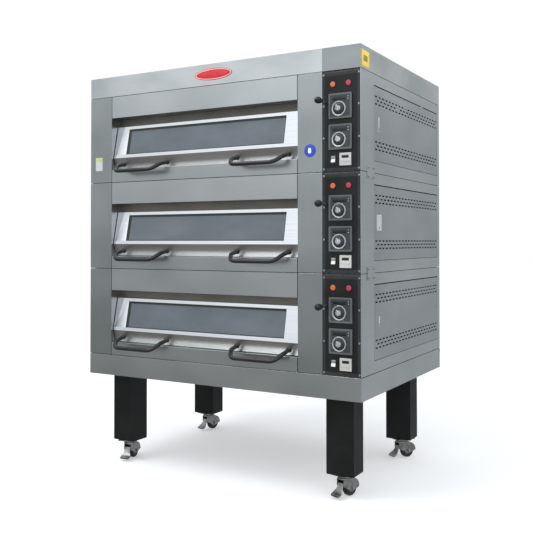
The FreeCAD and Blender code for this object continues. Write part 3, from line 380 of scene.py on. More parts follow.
def rocker_with_painted_shade():
    """White rocker; the half whose face looks up at rest is white, and the other half is painted grey as painted
    shade, which stays when the rocker tips.
    """
    paint = Paint("rocker_white", (0.82, 0.81, 0.77), 0.3)
    scuffs = paint.noise(90.0, detail=4.0)
    white = paint.ramp(scuffs, (0.78, 0.77, 0.73), (0.88, 0.87, 0.83))
    # Painted shade: the half whose face looks down at rest is grey.
    grey = paint.ramp(scuffs, (0.20, 0.20, 0.20), (0.27, 0.27, 0.26))
    paint.color(paint.mix_colors(paint.facing("Z", 0.06, 0.18), grey, white))
    paint.rough(scuffs, 0.22, 0.36)
    return paint.material


MATERIAL = {
    "stainless": stainless(),
    "stainless_sill": sill_stainless(),
    "stainless_hood": hood_stainless(),
    "stainless_cover": cover_stainless(),
    "stainless_upright": upright_stainless(),
    "black_enamel": coated("black_powder_coat", (0.007, 0.007, 0.007), 0.44, 0.60, 700.0, 0.0002,
                           Specular_IOR_Level=0.24),
    "zinc_steel": zinc(),
    "chassis_steel": chassis_steel(),
    "chamber_steel": chamber_steel(),
    "heat_seal": woven_seal(),
    "hearth_stone": baking_stone(),
    "heater_sheath": heater_sheath(),
    "mineral_wool": mineral_wool(),
    "panel_black": coated("panel_satin", (0.024, 0.026, 0.026), 0.38, 0.54,
                          Specular_IOR_Level=0.28),
    "panel_film": coated("panel_film", (0.009, 0.0105, 0.010), 0.36, 0.48, 1400.0, 0.0001,
                         Specular_IOR_Level=0.26),
    "controller_grey": coated("controller_case", (0.030, 0.034, 0.039), 0.28, 0.42),
    # Painted highlight: the rim round each controller is a lighter grey than its case.
    "controller_rim": coated("controller_rim", (0.078, 0.088, 0.088), 0.26, 0.40),
    "timer_white": coated("timer_case", (0.47, 0.455, 0.43), 0.35, 0.5),
    "lens_orange": lens("lens_orange", (0.62, 0.115, 0.018), 0.16),
    "lens_red": lens("lens_red", (0.46, 0.022, 0.060), 0.12),
    "switch_black": coated("switch_black", (0.015, 0.015, 0.016), 0.35, 0.5),
    "screw_steel": screw_steel(),
    "gland_black": coated("gland_nylon", (0.02, 0.02, 0.02), 0.4, 0.55),
    "door_steel": door_steel(),
    "door_glass": tinted_glass(),
    "handle_black": coated("handle_satin", (0.012, 0.012, 0.013), 0.30, 0.42, 1200.0, 0.0001),
    "damper_black": coated("damper_phenolic", (0.010, 0.010, 0.011), 0.22, 0.34),
    "dial_black": coated("dial_black", (0.020, 0.024, 0.028), 0.30, 0.44),
    "rocker_white": rocker_with_painted_shade(),
    "tyre_black": rubber(),
    "window_black": coated("window_black", (0.008, 0.010, 0.013), 0.08, 0.14, 300.0, 0.00002),
    "silver": coated("satin_silver", (0.58, 0.60, 0.60), 0.28, 0.40, 900.0, 0.0001, 0.8),
    "print_grey": coated("print_grey", (0.38, 0.39, 0.38), 0.45, 0.6),
    "seal_black": coated("window_seal", (0.020, 0.024, 0.020), 0.55, 0.7),
    "badge_red": coated("badge_red", (0.50, 0.012, 0.015), 0.20, 0.32, 300.0, 0.00005,
                        Coat_Weight=0.5),
    "badge_pale": coated("badge_pale", (0.78, 0.72, 0.66), 0.30, 0.45),
    "sticker_blue": coated("sticker_blue", (0.020, 0.055, 0.40), 0.35, 0.5, 300.0, 0.00003),
    "sticker_white": coated("sticker_white", (0.78, 0.80, 0.82), 0.40, 0.55, 300.0, 0.00003),
    "label_yellow": coated("label_yellow", (0.80, 0.56, 0.05), 0.40, 0.55, 300.0, 0.00003),
    "label_ochre": coated("label_ochre", (0.24, 0.19, 0.05), 0.40, 0.55, 300.0, 0.00003),
    "label_pale": coated("label_pale", (0.40, 0.43, 0.44), 0.40, 0.55, 300.0, 0.00003),
    "label_green": coated("label_green", (0.40, 0.46, 0.12), 0.40, 0.55, 300.0, 0.00003),
    "core_grey": coated("wheel_core", (0.09, 0.095, 0.10), 0.4, 0.55),
}


# ---- CAD nodes: finishes and softened edges ---------------------------------------
SHEET_BEVEL = 0.0008
FINE_BEVEL = 0.0005         # narrower edges get a single flat
BEVELS = {
    "base_plinth": SHEET_BEVEL, "hood": SHEET_BEVEL, "front_pillars": SHEET_BEVEL,
    "front_fascias": SHEET_BEVEL, "front_sills": SHEET_BEVEL, "side_frames": SHEET_BEVEL,
    "side_covers": 0.0004, "rear_panels": SHEET_BEVEL, "deck_link_plates": SHEET_BEVEL,
    "control_panels": 0.0005, "controllers": 0.0012, "timers": 0.0010,
    "legs": 0.0030, "rocker_frames": 0.0006, "hearth_stones": 0.0020,
}
for deck_name in DECKS:
    BEVELS["door_frame_" + deck_name] = 0.0012
    BEVELS["rocker_" + deck_name] = 0.0008
for corner_name in CORNERS:
    BEVELS["caster_fork_" + corner_name] = 0.0010


FINISHES = {"front_pillars": "stainless_upright", "front_sills": "stainless_sill",
            "hood": "stainless_hood", "side_covers": "stainless_cover"}


def soften(obj, width):
    """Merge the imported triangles' corners and round the sharp edges a little."""
    weld = obj.modifiers.new("weld", "WELD")
    weld.merge_threshold = 0.00001
    bevel = obj.modifiers.new("bevel", "BEVEL")
    bevel.width = width
    bevel.segments = 1 if width < FINE_BEVEL else 2
    bevel.limit_method = "ANGLE"
    bevel.angle_limit = math.radians(40)
    bevel.harden_normals = True


def dress_cad_nodes():
    """Give every CAD node its own finish, or else that of its slot in the record."""
    slots = {}
    for part in frame["record"]["subparts"]:
        slots[part["node"]] = part["material_slot"]
    for name, obj in NODES.items():
        obj.data.materials.clear()
        obj.data.materials.append(MATERIAL[FINISHES.get(name, slots[name])])
        if name in BEVELS:
            soften(obj, BEVELS[name])


# ---- mesh helpers --------------------------------------------------------------------
def new_piece(name, bm, materials, body, smooth=35):
    """Turn a bmesh, already in place, into a piece that rides on a body."""
    bmesh.ops.recalc_face_normals(bm, faces=bm.faces)
    mesh = bpy.data.meshes.new(name)
    bm.to_mesh(mesh)
    bm.free()
    for key in materials:
        mesh.materials.append(MATERIAL[key])
    mesh.shade_smooth()
    mesh.set_sharp_from_angle(angle=math.radians(smooth))
    obj = bpy.data.objects.new(name, mesh)
    bpy.context.scene.collection.objects.link(obj)
    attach(obj, body)
    return obj


def rounded_outline(x, z, width, height, radius, steps=6):
    """Corners (x, z) of a rectangle with rounded corners, about its centre."""
    points = []
    for quarter in range(4):
        sign_x = 1 if quarter in (0, 3) else -1
        sign_z = 1 if quarter in (0, 1) else -1
        for step in range(steps + 1):
            turn = math.radians(90 * quarter + 90 * step / steps)
            points.append((x + sign_x * (width / 2 - radius) + radius * math.cos(turn),
                           z + sign_z * (height / 2 - radius) + radius * math.sin(turn)))
    return points


def oval_outline(x, z, width, height, steps=64):
    turns = [2 * math.pi * step / steps for step in range(steps)]
    return [(x + width / 2 * math.cos(turn), z + height / 2 * math.sin(turn)) for turn in turns]


def add_sheet(bm, outlines, front, back, edge=0.0, material=0):
    """Flat plate facing -Y; the first outline is its rim, the others are holes."""
    edges = []
    for outline in outlines:
        ring = [bm.verts.new((x, back, z)) for x, z in outline]
        edges += [bm.edges.new((ring[i - 1], ring[i])) for i in range(len(ring))]
    filled = bmesh.ops.triangle_fill(bm, use_beauty=True, edges=edges)
    faces = [item for item in filled["geom"] if isinstance(item, bmesh.types.BMFace)]
    grown = bmesh.ops.extrude_face_region(bm, geom=faces)
    verts = [item for item in grown["geom"] if isinstance(item, bmesh.types.BMVert)]
    bmesh.ops.translate(bm, verts=verts, vec=(0, front - back, 0))
    made = set(faces)
    for vert in verts:
        made.update(vert.link_faces)
    for face in made:
        face.material_index = material
    if edge > 0.0:
        rim = [item for item in bm.edges if item.verts[0] in verts and item.verts[1] in verts
               and len(item.link_faces) == 2 and item.calc_face_angle(0.0) > 1.0]
        bmesh.ops.bevel(bm, geom=rim, offset=edge, segments=2, affect="EDGES", profile=0.5)


def add_slab(bm, low, high, radius, segments=3, material=0):
    """Box with rounded edges between two corners."""
    low, high = Vector(low), Vector(high)
    made = bmesh.ops.create_cube(bm, size=1.0)
    verts = made["verts"]
    middle = (low + high) / 2
    size = high - low
    for vert in verts:
        vert.co = Vector((vert.co.x * size.x, vert.co.y * size.y, vert.co.z * size.z)) + middle
    edges = list({edge for vert in verts for edge in vert.link_edges})
    faces = {face for vert in verts for face in vert.link_faces}
    for face in faces:
        face.material_index = material
    bmesh.ops.bevel(bm, geom=edges, offset=radius, segments=segments, affect="EDGES",
                    profile=0.5, material=material)


def around(side, other, turn):
    """Unit vector at an angle in the plane of two others."""
    return side * math.cos(turn) + other * math.sin(turn)


def add_lathe(bm, profile, origin, axis, steps=48, materials=None):
    """Turned solid: profile is a list of (distance along the axis, radius)."""
    origin, axis = Vector(origin), Vector(axis).normalized()
    side = axis.orthogonal().normalized()
    other = axis.cross(side)
    rings = []
    for along, radius in profile:
        centre = origin + axis * along
        if radius < 1e-7:
            rings.append([bm.verts.new(centre)])
            continue
        turns = [2 * math.pi * step / steps for step in range(steps)]
        rings.append([bm.verts.new(centre + around(side, other, turn) * radius) for turn in turns])
    for index, (near, far) in enumerate(zip(rings, rings[1:])):
        for step in range(steps):
            following = (step + 1) % steps
            corners = []
            for ring, places in ((near, (step, following)), (far, (following, step))):
                used = places[:1] if len(ring) == 1 else places
                corners += [ring[place % len(ring)] for place in used]
            face = bm.faces.new(corners)
            face.material_index = materials[index] if materials else 0


def rounded_path(points, radius, steps=10):
    """Points along straight runs joined by tangent arcs of one radius."""
    path = [points[0]]
    for before, corner, after in zip(points, points[1:], points[2:]):
        back = (before - corner).normalized()
        ahead = (after - corner).normalized()
        half = back.angle(ahead) / 2
        reach = radius / math.tan(half)
        centre = corner + (back + ahead).normalized() * (radius / math.sin(half))
        start = corner + back * reach - centre
        end = corner + ahead * reach - centre
        for step in range(steps + 1):
            path.append(centre + start.slerp(end, step / steps).normalized() * radius)
    return path + [points[-1]]


def skin_rings(bm, rings):
    """Faces between rings of equal length, and over the two ends."""
    steps = len(rings[0])
    for near, far in zip(rings, rings[1:]):
        for step in range(steps):
            following = (step + 1) % steps
            bm.faces.new((near[step], near[following], far[following], far[step]))
    bm.faces.new(rings[0][::-1])
    bm.faces.new(rings[-1])


def add_tube(bm, path, radius, steps=20):
    """Round bar along a path, with flat ends."""
    side = (path[1] - path[0]).orthogonal().normalized()
    rings = []
    for index, point in enumerate(path):
        before = path[max(index - 1, 0)]
        after = path[min(index + 1, len(path) - 1)]
        ahead = (after - before).normalized()
        side = (side - ahead * side.dot(ahead)).normalized()
        other = ahead.cross(side)
        turns = [2 * math.pi * step / steps for step in range(steps)]
        rings.append([bm.verts.new(point + around(side, other, turn) * radius) for turn in turns])
    skin_rings(bm, rings)


def local_frame(origin, x_axis, y_axis, z_axis):
    """Matrix that puts local geometry at an origin with the given axes."""
    matrix = Matrix.Identity(4)
    for column, axis in enumerate((x_axis, y_axis, z_axis, origin)):
        for row in range(3):
            matrix[row][column] = axis[row]
    return matrix


def merge(bm, other):
    """Put a second bmesh into the first, and free it."""
    mesh = bpy.data.meshes.new("merged")
    other.to_mesh(mesh)
    other.free()
    bm.from_mesh(mesh)
    bpy.data.meshes.remove(mesh)


# ---- doors ----------------------------------------------------------------------------
# Widths of the dark band round the pane; the extra width at the top and the left is painted shadow.
SEAL_AND_SHADOW_TOP = 0.010
SEAL_AND_SHADOW_LEFT = 0.012
SEAL_THIN = 0.003
SEAL_T = 0.0016


def glass_seal_and_shadow(deck):
    """Dark band on the outer pane, drawn in the plane of the glass: a thin seal all round, widened at the top and
    the left by a painted shadow.
    """
    low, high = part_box("door_glass_" + deck)
    up = Vector((0, math.sin(DOOR_LEAN), math.cos(DOOR_LEAN)))
    out = Vector((0, -math.cos(DOOR_LEAN), math.sin(DOOR_LEAN)))
    width = high.x - low.x
    rise = (WINDOW_TOP - WINDOW_BOTTOM) / math.cos(DOOR_LEAN)
    rim = [(0, 0), (width, 0), (width, rise), (0, rise)]
    pane = [(SEAL_AND_SHADOW_LEFT, SEAL_THIN), (width - SEAL_THIN, SEAL_THIN),
            (width - SEAL_THIN, rise - SEAL_AND_SHADOW_TOP), (SEAL_AND_SHADOW_LEFT, rise - SEAL_AND_SHADOW_TOP)]
    bm = bmesh.new()
    add_sheet(bm, [rim, pane], -SEAL_T, 0.0, 0.0004)
    bm.transform(local_frame(low, Vector((1, 0, 0)), -out, up))
    new_piece("glass_seal_and_shadow_" + deck, bm, ["seal_black"], "door_" + deck)


HANDLE_R = 0.0085
HANDLE_HALF = 0.120
HANDLE_GRIP_HALF = 0.098
HANDLE_FOOT_Z = 0.081
HANDLE_GRIP_Z = 0.044
HANDLE_KNEE_Z = 0.071
HANDLE_KNEE_Y = 0.022
HANDLE_GRIP_Y = 0.064
HANDLE_OFFSET = 0.299
HANDLE_BEND_R = 0.034
BAND_DEPTH = 0.0232        # band behind the front skin, at the feet
BAND_SLOPE = (0.018, -0.051)       # the band's run back and down
FOOT_SUNK = 0.005          # bar's end inside the band
HANDLE_FLANGE = [(-0.001, 0.0), (-0.001, 0.0120), (0.0015, 0.0120), (0.003, 0.0112),
                 (0.006, 0.0092), (0.009, HANDLE_R), (0.009, 0.0)]


def door_handles(deck):
    """Two bow handles; each runs from its feet forward and down to the grip."""
    low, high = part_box("door_frame_" + deck)
    z = low.z - DOOR_BOTTOM
    band = Vector((0, *BAND_SLOPE)).normalized()
    out = Vector((0, band.z, -band.y))
    for name, side in (("left", -1), ("right", 1)):
        middle = (low.x + high.x) / 2 + side * HANDLE_OFFSET
        bm = bmesh.new()
        corners = []
        for end in (-1, 1):
            foot_x = middle + end * HANDLE_HALF
            grip_x = middle + end * HANDLE_GRIP_HALF
            foot = Vector((foot_x, FRONT_Y + BAND_DEPTH + FOOT_SUNK, z + HANDLE_FOOT_Z))
            knee = Vector((foot_x, FRONT_Y - HANDLE_KNEE_Y, z + HANDLE_KNEE_Z))
            grip = Vector((grip_x, FRONT_Y - HANDLE_GRIP_Y, z + HANDLE_GRIP_Z))
            corners += [foot, knee, grip] if end < 0 else [grip, knee, foot]
            base = Vector((foot_x, FRONT_Y + BAND_DEPTH, z + HANDLE_FOOT_Z))
            add_lathe(bm, HANDLE_FLANGE, base, out, 32)
        add_tube(bm, rounded_path(corners, HANDLE_BEND_R), HANDLE_R)
        piece = new_piece("door_handle_%s_%s" % (deck, name), bm, ["handle_black"],
                          "door_" + deck)
        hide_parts("door_handles_" + deck)


# ---- control panels --------------------------------------------------------------------
DIAL_OFFSET = (0.006, 0.010)      # controller's centre from the dial's centre
METER_FACE = 0.005                # bezel's front, ahead of the panel
DIAL_GAP = 0.0008                 # dial off the bezel
TIMER_Z = 0.046
LAMP_Z = 0.332
FILM_SIZE = (0.133, 0.350)
FILM_Z = 0.190
METER_HOLE = 0.092
TICK_START = 0.0292
TICK_HALF_T = 0.0004


def centre_of(node):
    low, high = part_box(node)
    return (low + high) / 2


def dial_centre(deck, heat):
    """Middle (x, z) of a dial, from its joint."""
    place = JOINTS["dial_%s_%s_turn" % (deck, heat)]["pos_m"]
    return place[0], place[2]


def panel_film(deck):
    """Black film on the middle of a control panel, cut out round its instruments."""
    z = deck_z(deck)
    middle_x = (PANEL_LOW.x + PANEL_HIGH.x) / 2
    rim = rounded_outline(middle_x - 0.001, z + FILM_Z, *FILM_SIZE, 0.004)
    rocker = centre_of("rocker_frames")
    timer = centre_of("timers")
    damper = centre_of("damper_pull_" + deck)
    holes = [rounded_outline(rocker.x, z + TIMER_Z, 0.0220, 0.0310, 0.001, 2),
             rounded_outline(timer.x, z + TIMER_Z, 0.0460, 0.0460, 0.001, 2),
             oval_outline(damper.x, damper.z, 0.0100, 0.0100, 24)]
    for heat in HEATS:
        x, height = dial_centre(deck, heat)
        x += DIAL_OFFSET[0]
        height += DIAL_OFFSET[1]
        holes.append(rounded_outline(x, height, METER_HOLE, METER_HOLE, 0.001, 2))
    for colour in ("orange", "red"):
        lamp = centre_of("pilot_lamps_" + colour)
        holes.append(oval_outline(lamp.x, z + LAMP_Z, 0.0200, 0.0200, 24))
    bm = bmesh.new()
    add_sheet(bm, [rim] + holes, FRONT_Y - 0.0004, FRONT_Y)
    new_piece("panel_film_" + deck, bm, ["panel_film"], "oven")


def scale_ticks(bm, x, z, front, material):
    """Eleven radial marks round a dial, over 300 degrees."""
    for step in range(11):
        turn = math.radians(-60 + 30 * step)
        length = 0.0034 if step % 5 == 0 else 0.0022
        along = Vector((math.cos(turn), 0, math.sin(turn)))
        across = Vector((-math.sin(turn), 0, math.cos(turn))) * TICK_HALF_T
        near = Vector((x, 0, z)) + along * TICK_START
        far = near + along * length
        corners = (near - across, far - across, far + across, near + across)
        outline = [(corner.x, corner.z) for corner in corners]
        add_sheet(bm, [outline], front - 0.0002, front, 0.0, material)


def meter_face(deck, heat):
    """Rim, window, scale ring and marks on the front of a heat controller."""
    dial_x, dial_z = dial_centre(deck, heat)
    x = dial_x + DIAL_OFFSET[0]
    z = dial_z + DIAL_OFFSET[1]
    front = FRONT_Y - METER_FACE
    bm = bmesh.new()
    # The rim, in the controller_rim grey that is lighter than the case, is a painted highlight.
    add_sheet(bm, [rounded_outline(x, z, 0.0958, 0.0958, 0.004),
                   rounded_outline(x, z, 0.0800, 0.0810, 0.003)], front - 0.0014, front, 0.0005, 0)
    window_x = x - 0.004
    window_z = z + 0.0288
    add_sheet(bm, [rounded_outline(window_x, window_z, 0.0560, 0.0165, 0.002)],
              front - 0.0008, front, 0.0003, 1)
    add_sheet(bm, [rounded_outline(window_x, window_z, 0.0600, 0.0200, 0.003),
                   rounded_outline(window_x, window_z, 0.0570, 0.0175, 0.002)],
              front - 0.0011, front, 0.0003, 3)
    ring = [(0.0, 0.0235), (0.0016, 0.0235), (0.0020, 0.0241), (0.0020, 0.0278),
            (0.0014, 0.0284), (0.0, 0.0284)]
    add_lathe(bm, ring, (dial_x, front, dial_z), (0, -1, 0), 72, [2] * 5)
    scale_ticks(bm, dial_x, dial_z, front, 4)
    for spot in (-1, 1):
        add_lathe(bm, [(0.0, 0.0018), (0.0008, 0.0016), (0.0012, 0.0009), (0.0013, 0.0)],
                  (x + 0.0330, front, z + 0.0285 + spot * 0.0048), (0, -1, 0), 16, [2] * 3)
    new_piece("meter_face_%s_%s" % (deck, heat), bm,
              ["controller_rim", "window_black", "silver", "controller_grey", "print_grey"],
              "oven")


def dial(deck, heat):
    """Dark skirt, and a satin hub with a finger bar."""
    x, z = dial_centre(deck, heat)
    front = FRONT_Y - METER_FACE - DIAL_GAP
    skirt = [(-0.0140, 0.0), (-0.0140, 0.0030), (0.0, 0.0030), (0.0, 0.0215), (0.0008, 0.0220),
             (0.0028, 0.0216), (0.0040, 0.0200), (0.0044, 0.0120), (0.0044, 0.0)]
    hub = [(0.0040, 0.0), (0.0040, 0.0112), (0.0095, 0.0104), (0.0106, 0.0094), (0.0110, 0.0)]
    bm = bmesh.new()
    add_lathe(bm, skirt, (x, front, z), (0, -1, 0), 64, [0] * 8)
    add_lathe(bm, hub, (x, front, z), (0, -1, 0), 48, [1] * 4)
    tilt = Matrix.Rotation(math.radians(-14), 4, "Y")
    bar = bmesh.new()
    add_slab(bar, (-0.0036, -0.0160, -0.0108), (0.0036, -0.0060, 0.0122), 0.0014, 3, 1)
    add_slab(bar, (-0.0006, -0.0164, 0.0010), (0.0006, -0.0150, 0.0112), 0.0003, 1, 2)
    bar.transform(Matrix.Translation((x, front, z)) @ tilt)
    merge(bm, bar)
    name = "dial_%s_%s" % (deck, heat)
    piece = new_piece("dial_cap_%s_%s" % (deck, heat), bm,
                      ["dial_black", "silver", "switch_black"], name + "_body")
    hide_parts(name)


def timer_face(deck):
    """Display window and a row of keys on the timer."""
    z = deck_z(deck) + TIMER_Z
    x = centre_of("timers").x
    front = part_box("timers")[0].y
    bm = bmesh.new()
    add_sheet(bm, [rounded_outline(x, z, 0.0470, 0.0470, 0.003),
                   rounded_outline(x, z, 0.0420, 0.0420, 0.002)], front - 0.0008, front, 0.0003, 0)
    window = rounded_outline(x, z + 0.0095, 0.0290, 0.0110, 0.001)
    add_sheet(bm, [window], front - 0.0006, front, 0.0002, 1)
    for key in range(4):
        key_x = x - 0.0135 + key * 0.009
        add_sheet(bm, [rounded_outline(key_x, z - 0.0105, 0.0062, 0.0070, 0.0012)],
                  front - 0.0010, front, 0.0003, 2)
    new_piece("timer_face_" + deck, bm, ["timer_white", "window_black", "print_grey"],
              "oven")


def lamp_bezels(deck):
    """Dark rims round the two pilot lamps."""
    profile = [(0.0, 0.0106), (0.0020, 0.0106), (0.0026, 0.0110), (0.0024, 0.0122), (0.0, 0.0128)]
    for colour in ("orange", "red"):
        lamp = centre_of("pilot_lamps_" + colour)
        place = (lamp.x, FRONT_Y, deck_z(deck) + LAMP_Z)
        bm = bmesh.new()
        add_lathe(bm, profile, place, (0, -1, 0), 40)
        new_piece("lamp_bezel_%s_%s" % (colour, deck), bm, ["switch_black"],
                  "oven")


def damper_pull(deck):
    """Phenolic knob on a plain rod, and the disc that closes the spigot."""
    low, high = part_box("damper_pull_" + deck)
    middle = (low + high) / 2
    length = high.y - low.y
    profile = [(0.0, 0.0), (0.0006, 0.0060), (0.0030, 0.0100), (0.0080, 0.0126), (0.0140, 0.0130),
               (0.0220, 0.0122), (0.0310, 0.0098), (0.0370, 0.0080), (0.0395, 0.0074),
               (0.0400, 0.0060), (0.0400, 0.0040), (length - 0.0030, 0.0040), (length - 0.0030, 0.0355),
               (length - 0.0025, 0.0360), (length - 0.0005, 0.0360), (length, 0.0355), (length, 0.0)]
    materials = [0] * 10 + [1] * 6
    bm = bmesh.new()
    add_lathe(bm, profile, (middle.x, low.y, middle.z), (0, 1, 0), 48, materials)
    piece = new_piece("damper_knob_" + deck, bm, ["damper_black", "screw_steel"],
                      "damper_" + deck)
    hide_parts("damper_pull_" + deck)


# ---- badge and labels, all blank --------------------------------------------------------
LABEL_T = 0.0003           # sheet of a stick-on label


def front_label(name, outlines, thickness, material, lift=0.0):
    """Thin plate on the front skin."""
    back = FRONT_Y - lift
    bm = bmesh.new()
    add_sheet(bm, outlines, FRONT_Y - lift - thickness, back, min(LABEL_T, thickness / 3))
    new_piece(name, bm, [material], "oven")


def side_label(name, y, z, width, height, material, lift=0.0):
    """Thin plate on the right-hand skin."""
    bm = bmesh.new()
    add_sheet(bm, [rounded_outline(0, 0, width, height, min(0.003, width / 5))], -LABEL_T, 0.0)
    along, inward, up = Vector((0, 1, 0)), Vector((-1, 0, 0)), Vector((0, 0, 1))
    bm.transform(local_frame((SIDE_X + lift, y, z), along, inward, up))
    new_piece(name, bm, [material], "oven")


HOOD_Z = (HOOD_LOW.z + HOOD_HIGH.z) / 2
COVER_LABELS = {"lower": (0.014, 0.040), "middle": (0.050, 0.062), "upper": (0.014, 0.058)}


def hood_badge():
    """Oval badge with a pale rim on the front of the hood."""
    rim = [oval_outline(0.006, HOOD_Z, 0.176, 0.042), oval_outline(0.006, HOOD_Z, 0.171, 0.038)]
    front_label("badge_oval", [oval_outline(0.006, HOOD_Z, 0.184, 0.049)], 0.0012, "badge_red")
    front_label("badge_rim", rim, 0.0004, "badge_pale", 0.0012)


def front_stickers():
    """Round sticker on the right pillar and a small label on the left one."""
    sticker_z = deck_z("upper") + 0.086
    disc = oval_outline(0.454, sticker_z, 0.050, 0.050)
    mark = rounded_outline(0.452, sticker_z, 0.013, 0.021, 0.005)
    front_label("round_sticker", [disc], LABEL_T, "sticker_blue")
    front_label("round_sticker_mark", [mark], 0.0002, "sticker_white", LABEL_T)
    tag_z = deck_z("upper") + 0.085
    tag = rounded_outline(-0.615, tag_z, 0.040, 0.060, 0.002)
    top = rounded_outline(-0.615, tag_z + 0.021, 0.038, 0.014, 0.001)
    front_label("pillar_label", [tag], LABEL_T, "label_pale")
    front_label("pillar_label_top", [top], 0.0002, "label_green", LABEL_T)


def cover_labels():
    """Pale label with a red dot on each right-hand cover."""
    for deck, (width, height) in COVER_LABELS.items():
        z = deck_z(deck) + 0.195
        side_label("cover_label_" + deck, FRONT_Y + 0.180, z, width, height, "label_pale")
        side_label("cover_label_dot_" + deck, FRONT_Y + 0.182, z - height * 0.34, 0.008, 0.010,
                   "badge_red", LABEL_T)


def labels():
    """All the labels, in the order of their pieces."""
    hood_badge()
    front_stickers()
    y, z = FRONT_Y + 0.046, HOOD_Z - 0.004
    side_label("hood_label", y, z, 0.070, 0.060, "label_yellow")
    side_label("hood_label_patch", y, z, 0.038, 0.022, "label_ochre", LABEL_T)
    cover_labels()
    rating_plate()


def rating_plate():
    """Blank riveted plate low on the back."""
    plate_x, plate_z = -0.430, deck_z("lower") + 0.120
    bm = bmesh.new()
    plate = rounded_outline(plate_x, plate_z, 0.110, 0.070, 0.004)
    add_sheet(bm, [plate], BACK_Y, BACK_Y + 0.0008, 0.0003, 0)
    for side in (-1, 1):
        for level in (-1, 1):
            rivet = (plate_x + side * 0.049, BACK_Y + 0.0006, plate_z + level * 0.029)
            add_lathe(bm, [(0.0, 0.0022), (0.0008, 0.0020), (0.0013, 0.0011), (0.0014, 0.0)],
                      rivet, (0, 1, 0), 16, [1] * 3)
    new_piece("rating_plate", bm, ["silver", "screw_steel"], "oven")


# ---- casters ------------------------------------------------------------------------------
WHEEL_R = 0.0325
TRAIL = 0.028
CHEEK_Y = 0.0180           # outside of the fork's cheeks
PEDAL_PIVOT = (-0.021, 0, 0.053)
PEDAL_HALF_T = 0.0024
PEDAL_LIP = 0.0018         # rounded edge of the pedal's sheet
TOE_SLOPE = 0.30
FIRST_RIDGE = -0.0470


def caster_frame(corner):
    """Local frame of a caster: X along its trail, Y along its axle, Z up."""
    spin = JOINTS["wheel_spin_" + corner]
    swivel = JOINTS["caster_swivel_" + corner]
    axle = Vector(spin["axis"])
    trail = Vector((axle.y, -axle.x, 0))
    origin = Vector((swivel["pos_m"][0], swivel["pos_m"][1], 0))
    return local_frame(origin, trail, axle, Vector((0, 0, 1)))


def caster_wheel(corner):
    """Grooved tyre on a dished core."""
    half_tyre = [(0.0032, WHEEL_R), (0.0036, 0.0316), (0.0044, 0.0316), (0.0048, WHEEL_R),
                 (0.0055, WHEEL_R), (0.0085, 0.0318), (0.0108, 0.0300), (0.0120, 0.0270),
                 (0.0118, 0.0205)]
    tyre = [(-along, radius) for along, radius in reversed(half_tyre)] + half_tyre
    half_core = [(0.0143, 0.0041), (0.0143, 0.0095), (0.0132, 0.0108), (0.0085, 0.0125),
                 (0.0075, 0.0150), (0.0080, 0.0185), (0.0105, 0.0205), (0.0112, 0.0212),
                 (0.0110, 0.0218)]
    core = half_core + [(-along, radius) for along, radius in reversed(half_core)]
    core.append(core[0])
    centre = (TRAIL, 0, WHEEL_R)
    bm = bmesh.new()
    add_lathe(bm, tyre + tyre[:1], centre, (0, 1, 0), 64, [0] * len(tyre))
    add_lathe(bm, core, centre, (0, 1, 0), 64, [1] * len(core))
    bm.transform(caster_frame(corner))
    piece = new_piece("caster_tyre_" + corner, bm, ["tyre_black", "core_grey"],
                      "wheel_" + corner)
    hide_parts("caster_wheel_" + corner)


def axle_nuts(corner):
    """Washers and hexagon nuts on the two ends of the axle."""
    washer = [(0.0, 0.0), (0.0, 0.0078), (0.0008, 0.0082), (0.0008, 0.0040)]
    nut = [(0.0008, 0.0), (0.0008, 0.0068), (0.0052, 0.0068), (0.0060, 0.0058), (0.0060, 0.0)]
    bm = bmesh.new()
    for side in (-1, 1):
        start = Vector((TRAIL, side * CHEEK_Y, WHEEL_R))
        add_lathe(bm, washer, start, (0, side, 0), 32)
        add_lathe(bm, nut, start, (0, side, 0), 6)
    bm.transform(caster_frame(corner))
    new_piece("axle_nuts_" + corner, bm, ["screw_steel"], "fork_" + corner, 25)


def raceway(corner):
    """Pressed ball-race ring round the swivel head."""
    bm = bmesh.new()
    profile = [(0.0700, 0.0262), (0.0706, 0.0285), (0.0730, 0.0296), (0.0760, 0.0290),
               (0.0775, 0.0272), (0.0790, 0.0290), (0.0820, 0.0296), (0.0850, 0.0286),
               (0.0868, 0.0265)]
    add_lathe(bm, profile + profile[:1], (0, 0, 0), (0, 0, 1), 56)
    bm.transform(caster_frame(corner))
    new_piece("caster_race_" + corner, bm, ["zinc_steel"], "fork_" + corner)


